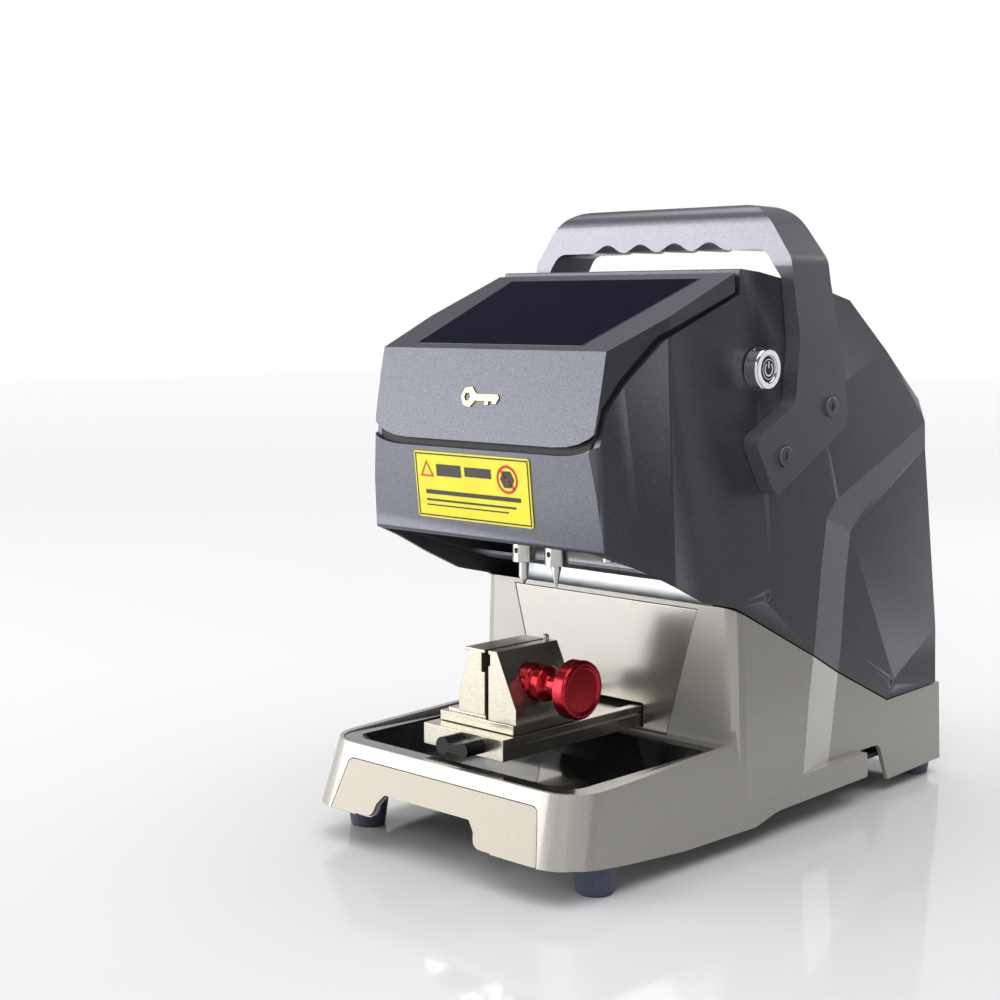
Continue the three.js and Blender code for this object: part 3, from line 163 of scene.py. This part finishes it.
def flat(name, material, corners):
    """A flat piece through its corner points, in metres."""
    form = bmesh.new()
    form.faces.new([form.verts.new(corner) for corner in corners])
    return formed(name, form, material)


# White, with a faint speckle that keeps the large even area from looking empty.
laminate, *nodes = new_material("melamine_laminate_white", "#cdcdcd", metallic=0, roughness=0.07)
mottle(*nodes, 0.8, "#cbcbcc", "#cfcfcf")
bench_half = 6
bench_corners = [(sx * bench_half, sy * bench_half, 0) for sx, sy in ((-1, -1), (1, -1), (1, 1), (-1, 1))]
flat("bench_top", laminate, bench_corners)

# ---------- studio light ----------
# Soft boxes in a white room with a grey ceiling, and a broad overhead light for the soft shadow on the bench.
# Three black felt flags stand where the right side, the bench beside it and the screen would mirror the room, so
# the metal shows bands of light and dark. Only reflections see them.

SOFT_BOXES = [  # name, place, size across and up, watts
    ("front_soft_box", (-1.2, -1.3, 0.5), (1.3, 1.0), 21),
    ("front_right_box", (0.9, -1.8, 1.3), (0.6, 0.6), 7),
    ("rear_strip_box", (0.35, 1.7, 0.6), (0.9, 1.1), 7),
]
aim = (cad_box[0] + cad_box[1]) / 2
for name, place, (across, up), watts in SOFT_BOXES:
    lamp = bpy.data.lights.new(name, "AREA")
    lamp.shape, lamp.size, lamp.size_y, lamp.energy = "RECTANGLE", across, up, watts
    box = bpy.data.objects.new(name, lamp)
    box.location = place
    box.rotation_euler = (aim - Vector(place)).to_track_quat("-Z", "Y").to_euler()
    box.visible_camera = False
    bpy.context.scene.collection.objects.link(box)

# Black wool felt swallows the light that reaches it.
felt, *nodes = new_material("wool_felt_black", "#2a2a2c", metallic=0, roughness=0.95)
mottle(*nodes, 3, "#262628", "#2e2e30")
FLAGS = [  # name, the two ends of its lower edge, that edge's height, then the upper edge's rise and shift
    ("right_flag", (1.75, 0.1), (0.62, 1.45), 0.0, 1.2, (0, 0)),
    ("right_floor_flag", (0.35, 0.1), (0.3, 1.3), 0.004, 0, (1.5, 0.3)),
    ("screen_flag", (-0.3, -0.1), (-0.12, 1.2), 0.62, 1.0, (-2.4, 0.9)),
]
for name, one, two, low, rise, shift in FLAGS:
    first, second, over = Vector((*one, low)), Vector((*two, low)), Vector((*shift, rise))
    flag = flat(name, felt, [first, second, second + over, first + over])
    flag.visible_camera = flag.visible_diffuse = flag.visible_shadow = False

WALL_TOP_SPAN = (0.2, 0.45)  # how steeply one looks up where the white wall turns into the grey ceiling
wall_white, ceiling_grey = (1, 1, 1, 1), (0.22, 0.22, 0.24, 1)
world = bpy.data.worlds.new("white_room")
bpy.context.scene.world = world
world.use_nodes = True
room = world.node_tree
steepness = add(room, "SeparateXYZ", {"Vector": add(room, "TexCoord", {}).outputs["Generated"]}).outputs["Z"]
walls = two_colours(room, steepness, WALL_TOP_SPAN, wall_white, ceiling_grey)
room.links.new(walls, room.nodes["Background"].inputs["Color"])
room.nodes["Background"].inputs["Strength"].default_value = 1.0

overhead = bpy.data.objects.new("overhead_light", bpy.data.lights.new("overhead_light", "SUN"))
overhead.data.energy, overhead.data.angle = 3.0, math.radians(80)
bpy.context.scene.collection.objects.link(overhead)

# ---------- cast base ----------
# The base and the column are one aluminium sand casting, milled where pieces meet it, filled and sprayed with a
# champagne-silver metallic lacquer.

BODY_OF = {node: body for body, members in frame["record"]["behaviour"]["bodies"].items() for node in members}
SAME_POINT = 0.002 * MM
SAME_PLANE = 0.25  # degrees between faces of one flat surface
SHARP = 36  # an edge that turns by more degrees than this is rounded
SHALLOW = 3  # a crease that turns by fewer degrees than this is left alone
EDGE_ROOM = 2.2  # how many times the rounding the shortest edge beside it has to be
FINE_REACH = 13  # how far from a fine place, in mm, edges are rounded less
FINE_SHARE = 0.1  # and the share of the rounding that they keep there
BROAD = 9 * MM  # a patch wider than this is shaded flat
DRIFT = 2.5  # degrees that a patch's faces may turn from its largest
CREASE = 40  # degrees over which the shading of narrow patches isn't blended
NO_LENGTH = 1e-9  # stands in for the length of an edge that has none
SQUARE_MM = 1e6  # in a square metre


def ready(piece, body, slot, *replaced):
    """Puts a finished piece on its body and hides the model nodes that it replaces. The slot is not used."""
    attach(piece, body)
    if replaced:
        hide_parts(*replaced)


def settle(piece):
    """Applies a piece's modifiers."""
    graph = bpy.context.evaluated_depsgraph_get()
    made = bpy.data.meshes.new_from_object(piece.evaluated_get(graph))
    piece.modifiers.clear()
    old, piece.data = piece.data, made
    bpy.data.meshes.remove(old)


def breadth(patch):
    """How wide a patch of faces is: its area over its longest edge."""
    longest = max(edge.calc_length() for face in patch for edge in face.edges)
    return sum(face.calc_area() for face in patch) / max(longest, NO_LENGTH)


def eased(piece, edge_mm, segments=3, fine=(), soft=False):
    """Rounds a piece's sharp edges by edge_mm, less where the edges are short and near a fine (y, z) place. With
    soft, the shallow creases between its broad faces are rounded too. Then shades it."""
    form = bmesh.new()
    form.from_mesh(piece.data)
    weight = form.edges.layers.float.new("bevel_weight_edge")
    for edge in form.edges:
        turn = math.degrees(edge.calc_face_angle(0))
        shortest = min(other.calc_length() for vert in edge.verts for other in vert.link_edges)
        share = min(1, shortest / (EDGE_ROOM * edge_mm * MM))
        middle = (edge.verts[0].co + edge.verts[1].co) / 2 / MM
        if turn > SHARP:
            near_fine = any(math.hypot(middle.y - y, middle.z - z) < FINE_REACH for y, z in fine)
            edge[weight] = min(share, FINE_SHARE) if near_fine else share
        elif soft and turn > SHALLOW and min(breadth([face]) for face in edge.link_faces) > BROAD:
            edge[weight] = share
    form.to_mesh(piece.data)
    form.free()
    bevel = piece.modifiers.new("edges", "BEVEL")
    bevel.width, bevel.segments, bevel.limit_method = edge_mm * MM, segments, "WEIGHT"
    bevel.miter_outer = "MITER_ARC"
    settle(piece)
    shade(piece)


def flats(form):
    """A form's faces in patches: faces that meet and stay within a small drift of the largest of them."""
    taken, patches = set(), []
    for seed in sorted(form.faces, key=lambda face: -face.calc_area()):
        if seed in taken:
            continue
        patch, front = [], [seed]
        while front:
            face = front.pop()
            if face in taken or face.normal.angle(seed.normal, 0) > math.radians(DRIFT):
                continue
            taken.add(face)
            patch.append(face)
            front += [near for edge in face.edges for near in edge.link_faces]
        patches.append(patch)
    return patches


def shade(piece):
    """Shades each broad patch flat, and lets the narrow ones between them carry the turn."""
    form = bmesh.new()
    form.from_mesh(piece.data)
    own, broad = {}, {}
    for patch in flats(form):
        normal = sum((face.normal * face.calc_area() * SQUARE_MM for face in patch), Vector((0, 0, 0)))
        wide = breadth(patch) > BROAD
        for face in patch:
            own[face], broad[face] = normal.normalized(), wide
    normals = []
    for face in form.faces:
        face.smooth = True
        for loop in face.loops:
            blend = own[face]
            if not broad[face]:
                near = [f for f in loop.vert.link_faces if own[f].angle(own[face], 0) < math.radians(CREASE)]
                blend = sum((own[f] * (f.calc_area() * SQUARE_MM) ** 2 for f in near), Vector((0, 0, 0)))
            normals.append(blend.normalized() if blend.length else own[face])
    form.to_mesh(piece.data)
    form.free()
    piece.data.normals_split_custom_set(normals)


def machined(node, name, material, slot, edge_mm, segments=3, **easing):
    """A piece with the model node's exact form, merged into clean faces, with its edges eased."""
    form = bmesh.new()
    form.from_mesh(frame["nodes"][node].data)
    bmesh.ops.remove_doubles(form, verts=form.verts, dist=SAME_POINT)
    bmesh.ops.dissolve_limit(form, angle_limit=math.radians(SAME_PLANE), verts=form.verts, edges=form.edges)
    piece = formed(name, form, material)
    eased(piece, edge_mm, segments, **easing)
    ready(piece, BODY_OF[node], slot, node)


# The metal flake gives a fine sparkle, and the thin clear coat a soft sheen over it.
champagne, *nodes = new_material(
    "sprayed_lacquer_champagne_silver", "#9f9c95", metallic=0.4, roughness=0.34, Coat_Weight=0.3, Coat_Roughness=0.12
)
mottle(*nodes, 0.5, "#98958e", "#a6a39c")
relief(*nodes, 1.6, height_mm=0.012)
SCREW_PLACES = [(-12.5, 146), (131.5, 71)]  # y and z of the front and the rear cover screws
machined("base_housing", "cast_base", champagne, "cast_paint", 1.6, segments=4, fine=SCREW_PLACES, soft=True)

# ---------- front apron ----------
# A separate plate let into the front of the base, sprayed a warmer champagne and baked.

# Darker and glossier than the casting, so it catches a clearer band of light.
apron_paint, *nodes = new_material(
    "baked_lacquer_warm_champagne", "#757063", metallic=0.45, roughness=0.28, Coat_Weight=0.3, Coat_Roughness=0.1
)
mottle(*nodes, 0.5, "#706b5f", "#7a7568")
relief(*nodes, 1.6, height_mm=0.01)
machined("front_apron", "apron_plate", apron_paint, "apron_paint", 0.8)

# ---------- chip tray ----------
# A pressed steel tray that catches the chips, in glossy gunmetal enamel, let into the base behind the apron.

# The enamel mirrors the clamp darkly, with duller patches where chips have rubbed it.
tray_enamel, *nodes = new_material(
    "gloss_enamel_gunmetal", "#2b2b2c", metallic=0.7, roughness=0.12, Coat_Weight=0.5, Coat_Roughness=0.05
)
mottle(*nodes, 6, "#262627", "#313132")
wear(*nodes, 12, low=0.1, high=0.2)
machined("chip_tray", "pressed_tray", tray_enamel, "tray_steel", 0.8)

# ---------- wall plate ----------
# A polished and lacquered plate in the column's front, behind the clamp. The carriage comes out through its slot.

# A soft mirror: it repeats the clamp and the knob with blurred edges.
polished, *nodes = new_material("polished_lacquered_plate", "#96938d", metallic=0.8, roughness=0.2)
wear(*nodes, 25, low=0.18, high=0.24)
machined("wall_panel", "wall_plate", polished, "panel_plate", 0.6)

# ---------- underside and feet ----------
# A moulded black pan closes the base underneath. Each corner stands on a moulded navy-grey rubber foot.

# Matt, with the fine grain of an etched mould.
black_abs, *nodes = new_material("moulded_abs_black", "#0d0d0e", metallic=0, roughness=0.5)
relief(*nodes, 0.9, height_mm=0.02)
machined("base_pan", "bottom_pan", black_abs, "black_plastic", 0.3)

# Bluer and paler than the plastic, with soft broad highlights.
rubber, *nodes = new_material("moulded_rubber_navy_grey", "#3c3e54", metallic=0, roughness=0.5)
mottle(*nodes, 1.2, "#383a4f", "#424459")
relief(*nodes, 0.8, height_mm=0.02)
for foot in ("front_left", "front_right", "rear_left", "rear_right"):
    machined("foot_" + foot, "rubber_foot_" + foot, rubber, "foot_rubber", 1.2)

# ---------- head cover ----------
# The cover over the head is folded and welded aluminium with a fine-textured graphite powder coat. It stands on
# the casting's rim, and a plate with a window for the tools closes it underneath.

# The coat's grain breaks the light up: the faces turned to it look silver-grey, the others nearly black.
graphite, *nodes = new_material("powder_coat_graphite", "#5e5f66", metallic=0.88, roughness=0.46)
mottle(*nodes, 0.7, "#56575d", "#67686f")
relief(*nodes, 0.8, height_mm=0.03)
HANDLE_BOLTS = [(40.5, 256), (-8.5, 229)]  # y and z of the two bolts on each side
fine_places = SCREW_PLACES + HANDLE_BOLTS
machined("head_housing", "head_cover", graphite, "graphite_paint", 2.6, segments=5, fine=fine_places, soft=True)
machined("head_floor", "head_bottom", graphite, "graphite_paint", 0.4)

# ---------- cover screws ----------
# Two cap screws on each side hold the cover to the casting. Each sits in the cover's hole, with a round socket.

# Zinc plating: grey and slightly cloudy.
plated, *nodes = new_material("zinc_plated_steel", "#77777a", metallic=0.8, roughness=0.32)
mottle(*nodes, 1.0, "#6c6c70", "#838387")


def turned(name, material, profile, sides):
    """A piece turned about the X axis from (radius, distance along X) points in mm, capped at both ends."""
    form = bmesh.new()
    angles = [2 * math.pi * k / sides for k in range(sides)]
    rings = [
        [form.verts.new(Vector((along, radius * math.sin(t), -radius * math.cos(t))) * MM) for t in angles]
        for radius, along in profile
    ]
    for low, high in zip(rings, rings[1:]):
        for k in range(sides):
            form.faces.new((low[k], low[(k + 1) % sides], high[(k + 1) % sides], high[k]))
    form.faces.new(list(reversed(rings[0])))
    form.faces.new(rings[-1])
    return formed(name, form, material)


SCREW_FACES = {"front": 100.4, "rear": 97.9}  # how far the head's face stands from the middle of the machine
screw_profile = [(3.9, -1.2), (4.0, -0.3), (3.7, 0), (2.3, 0), (2.2, -0.2), (2.1, -1.1)]
for (place_name, out), (y, z) in zip(SCREW_FACES.items(), SCREW_PLACES):
    for side_name, half_turn in (("right", 0), ("left", math.pi)):
        screw = turned(f"cover_screw_{place_name}_{side_name}", plated, screw_profile, sides=32)
        screw.data.transform(Matrix.Translation((out * MM, 0, 0)))
        screw.data.transform(Matrix.Rotation(half_turn, 4, "Z"))
        screw.data.transform(Matrix.Translation((0, y * MM, z * MM)))
        eased(screw, 0.15, segments=2)
        ready(screw, "housing", "screw_steel")

# ---------- display pod ----------
# A powder-coated shell on the front of the cover carries the screen's glass, with the display board behind it. A
# black sealing strip fills the gap round the shell, its near black a painted shadow so the gap reads dark, and a
# key-shaped badge is glued to its front.

machined("display_pod", "pod_shell", graphite, "graphite_paint", 1.2, segments=4)
# Dull and near black: painted shadow, so the gap round the shell reads dark.
seal_and_gap_shadow, *nodes = new_material("seal_rubber_black_painted_gap_shadow", "#060606", metallic=0, roughness=0.6)
relief(*nodes, 1, height_mm=0.02)
# The sealing strip round the pod, near black as painted shadow in the gap.
machined("pod_gasket", "pod_seal_gap_shadow", seal_and_gap_shadow, "seal_rubber", 0.6)
# A mirror over a nearly black navy backing.
glass, *nodes = new_material("float_glass_black_backed", "#05051c", metallic=0, roughness=0.03)
wear(*nodes, 30, low=0.02, high=0.05)
machined("touch_screen", "screen_glass", glass, "screen_glass", 0.4)
# Green lacquer, seen only when the machine is open.
board, *nodes = new_material("solder_mask_green", "#0d3f1f", metallic=0, roughness=0.35)
mottle(*nodes, 3, "#0b381b", "#114a26")
machined("display_module", "display_board", board, "circuit_board", 0.2)
# Pale gold that stands out from the graphite.
gold, *nodes = new_material("brushed_brass_gold_lacquer", "#d6b27c", metallic=0.85, roughness=0.3)
mottle(*nodes, 0.6, "#cfa96f", "#dfbd8a")
machined("front_badge", "key_badge", gold, "gold_plate", 0.2)

# ---------- label ----------
# A yellow vinyl label is stuck to the cover under the pod. Its screen print is a border, a warning triangle, plain
# bars in the place of words, and a round sign with a stroke across it. The ink lies about 0.2 mm proud.

# Even lemon yellow, the one saturated colour on the front.
vinyl, *nodes = new_material("printed_vinyl_yellow", "#dcd21a", metallic=0, roughness=0.4)
mottle(*nodes, 20, "#d8ce14", "#e0d620")
machined("label_plate", "yellow_label", vinyl, "label_vinyl", 0.1)

# Dense inks with a slight sheen.
black_ink, *nodes = new_material("screen_ink_black", "#0b0b0b", metallic=0, roughness=0.45)
mottle(*nodes, 4, "#090909", "#0e0e0e")
red_ink, *nodes = new_material("screen_ink_red", "#c3241c", metallic=0, roughness=0.45)
mottle(*nodes, 4, "#bd2018", "#c92820")


def printed(name, ink, body, slot, shapes, middle, across, up):
    """Flat ink: each shape is a ring of points, in mm across and up from a middle."""
    form = bmesh.new()
    for ring in shapes:
        form.faces.new([form.verts.new((middle + across * a + up * u) * MM) for a, u in ring])
    ready(formed(name, form, ink), body, slot)


def oblong(left, right, low, high):
    """A rectangle's corners."""
    return [(left, low), (right, low), (right, high), (left, high)]


def band(middle, outer, inner, sides, start=0.0):
    """The quads of a flat band between two regular rings of the same middle."""

    def point(radius, angle):
        return middle[0] + radius * math.cos(angle), middle[1] + radius * math.sin(angle)

    spokes = [start + 2 * math.pi * k / sides for k in range(sides + 1)]
    return [[point(outer, s), point(outer, t), point(inner, t), point(inner, s)] for s, t in zip(spokes, spokes[1:])]


LABEL_PROUD = 0.12
LEAN, OVER = 6, 54  # the cover's front leans out by 6 mm over a height of 54 mm
label_up = Vector((0, -LEAN, OVER)).normalized()
label_out = Vector((0, -OVER, -LEAN)).normalized()
label_middle = Vector((-5, -154.5, 213)) + label_out * LABEL_PROUD
on_label = {"middle": label_middle, "across": Vector((1, 0, 0)), "up": label_up}

BORDER_HALF, BORDER_LINE = (45, 18.6), 0.8
wide, tall = BORDER_HALF
inner_wide, inner_tall = wide - BORDER_LINE, tall - BORDER_LINE
border = [
    oblong(-wide, wide, inner_tall, tall),
    oblong(-wide, wide, -tall, -inner_tall),
    oblong(-wide, -inner_wide, -inner_tall, inner_tall),
    oblong(inner_wide, wide, -inner_tall, inner_tall),
]
words = [oblong(-28, -8, 5.5, 12.5), oblong(-5, 16, 6.5, 12)]
lines = [oblong(-38, 38, -5.5, -3), oblong(-38, 34, -9.6, -8.4), oblong(-38, 28, -12.4, -11.6)]
triangle = band((-36, 8), outer=6.5, inner=4.4, sides=3, start=math.pi / 2)
SIGN, STROKE_REACH, STROKE_HALF = (28.5, 7), 5.5, 0.6
sign_hexagon = band(SIGN, outer=5.5, inner=0.6, sides=6)
sign_ring = band(SIGN, outer=8.2, inner=6.6, sides=32)
stroke = [
    (SIGN[0] + end * STROKE_REACH + edge * STROKE_HALF, SIGN[1] - end * STROKE_REACH + edge * STROKE_HALF)
    for end, edge in ((-1, -1), (1, -1), (1, 1), (-1, 1))
]
black_shapes = border + words + lines + sign_hexagon
printed("label_print_black", black_ink, "housing", "label_vinyl", black_shapes, **on_label)
printed("label_print_red", red_ink, "housing", "label_vinyl", triangle + sign_ring + [stroke], **on_label)

# ---------- handle ----------
# A moulded bail over the head, with a wave for the fingers under its grip. Two cap screws hold each arm.

# A satin lacquer with a little metal in it, smoother than the cover's powder coat.
handle_abs, *nodes = new_material(
    "moulded_nylon_satin_black", "#6c6c73", metallic=0.65, roughness=0.32, Coat_Weight=0.3, Coat_Roughness=0.2
)
mottle(*nodes, 1.5, "#68686f", "#707077")
relief(*nodes, 0.7, height_mm=0.012)
machined("carry_handle", "handle_bail", handle_abs, "handle_plastic", 3.4, segments=6, fine=HANDLE_BOLTS)
for screw_name in ("left_1", "left_2", "right_1", "right_2"):
    machined("handle_screw_" + screw_name, "handle_bolt_" + screw_name, plated, "screw_steel", 0.5)

# ---------- button ----------
# The power button: a chromed ring screwed into the cover's right side, round a black cap that is pressed in. The
# ring's face and the sign on the cap are pad printed in white.

# A full mirror with a few duller touches.
chrome, *nodes = new_material("polished_chrome", "#d8d8dc", metallic=1, roughness=0.08)
wear(*nodes, 6, low=0.06, high=0.12)
machined("button_bezel", "button_ring", chrome, "bezel_chrome", 0.4)
machined("button_cap", "power_button", black_abs, "black_plastic", 0.4)
# Off-white, and bright even in the shade of the handle.
white_ink, *nodes = new_material("pad_ink_white", "#e8e8ea", metallic=0, roughness=0.35)
mottle(*nodes, 4, "#e4e4e6", "#ececee")

BUTTON_FACE = Vector((104.45, -21.5, 280))
RING_PROUD, SIGN_PROUD = 0.2, 0.02
GAP_QUADS = 4  # how many of the arc's 40 quads are left out on each side of its gap
button_ring = band((0, 0), outer=11.2, inner=8.3, sides=48)
power_arc = band((0, 0), outer=4.1, inner=3.3, sides=40, start=math.pi / 2)[GAP_QUADS:-GAP_QUADS]
power_stroke = oblong(-0.45, 0.45, 0.6, 4.6)
sign_circle = band((0, 0), outer=6.0, inner=5.6, sides=40)
for name, body, slot, shapes, proud in (
    ("button_face_ring", "housing", "bezel_chrome", button_ring, RING_PROUD),
    ("button_sign", "button", "black_plastic", power_arc + [power_stroke] + sign_circle, SIGN_PROUD),
):
    middle = BUTTON_FACE + Vector((proud, 0, 0))
    printed(name, white_ink, body, slot, shapes, middle, across=Vector((0, 1, 0)), up=Vector((0, 0, 1)))

# ---------- clamp ----------
# The key clamp rides on the carriage plate, which slides out of the column. Its jaws are ground steel, nickel
# plated; a red knob draws the sliding one in, and a black bar crosses the plate's front.

# Nickel is warmer than chrome; grinding leaves it soft and uneven.
nickel, *nodes = new_material("nickel_plated_ground_steel", "#a5a194", metallic=0.92, roughness=0.22)
mottle(*nodes, 1.4, "#9f9b8e", "#aba79a")
wear(*nodes, 6, low=0.16, high=0.26)
for node, name in (
    ("carriage_plate", "carriage_slide_plate"),
    ("clamp_base", "clamp_sole"),
    ("fixed_jaw", "jaw_fixed"),
    ("movable_jaw", "jaw_sliding"),
    ("stop_pin", "key_stop_pin"),
    ("y_block", "carriage_runner"),
):
    machined(node, name, nickel, "nickel_steel", 0.4)
# Oiled black oxide, with the shine of bare steel in its highlights.
oxide, *nodes = new_material("black_oxide_steel", "#1d1d1d", metallic=0.8, roughness=0.3)
wear(*nodes, 5, low=0.22, high=0.4)
machined("carriage_bar", "dog_bone_bar", oxide, "black_steel", 0.3)
# Dyed anodising over turned aluminium: a deep red with metallic highlights.
anodised, *nodes = new_material("anodised_aluminium_red", "#a32028", metallic=0.9, roughness=0.2)
mottle(*nodes, 2.0, "#9b1c24", "#ab262e")
machined("clamp_knob", "red_knob", anodised, "red_anodised", 0.8)

# ---------- tools ----------
# The probe and the cutter hang side by side under the head, each in its holder.

# Bright ground steel with a slight grain.
ground, *nodes = new_material("ground_tool_steel", "#b9b8b4", metallic=1, roughness=0.2)
wear(*nodes, 4, low=0.15, high=0.28)
for node, name in (
    ("probe_holder", "probe_collet"),
    ("probe", "probe_pin"),
    ("cutter_spindle", "cutter_collet"),
    ("cutter", "cutter_bit"),
):
    machined(node, name, ground, "tool_steel", 0.3)

# ---------- drives inside the head ----------
# Rails, lead screws, motors, the spindle's pulleys and belt, the control board and the power supply. They are
# hidden but for the rail and the blocks that show under the head.

# Cool grey with the dull sheen of milling.
aluminium, *nodes = new_material("milled_aluminium", "#adb0b2", metallic=1, roughness=0.34)
wear(*nodes, 8, low=0.28, high=0.42)
# Matt black.
neoprene, *nodes = new_material("moulded_neoprene_black", "#101010", metallic=0, roughness=0.6)
relief(*nodes, 0.8, height_mm=0.02)
# Black, glossier than the plastic.
motor_paint, *nodes = new_material("stove_enamel_black", "#1c1c1f", metallic=0.2, roughness=0.35)
wear(*nodes, 10, low=0.3, high=0.45)
milled = ("spindle_pulley", "motor_pulley", "spindle_block", "x_saddle", "machine_frame")
rails_and_screws = ("z_rail", "x_rail_1", "x_rail_2", "y_rail", "x_screw", "y_screw", "z_screw")
motors = ("spindle_motor", "x_motor", "y_motor", "z_motor")
for group, material, slot in (
    (milled, aluminium, "machined_aluminium"),
    (rails_and_screws, ground, "tool_steel"),
    (motors, motor_paint, "motor_case"),
    (("drive_belt",), neoprene, "belt_rubber"),
    (("control_board",), board, "circuit_board"),
    (("power_supply",), aluminium, "machined_aluminium"),
):
    for node in group:
        machined(node, node + "_piece", material, slot, 0.3)

# ---------- back panel ----------
# A moulded panel closes the cover at the back, with the fan behind its vents, the mains inlet and the data socket.

machined("rear_panel", "back_panel", black_abs, "black_plastic", 0.4)
machined("power_inlet", "mains_inlet", black_abs, "black_plastic", 0.3)
machined("usb_port", "data_socket", plated, "screw_steel", 0.15)
machined("fan_frame", "fan_housing", black_abs, "black_plastic", 0.3)
machined("fan_rotor", "fan_wheel", black_abs, "black_plastic", 0.3)
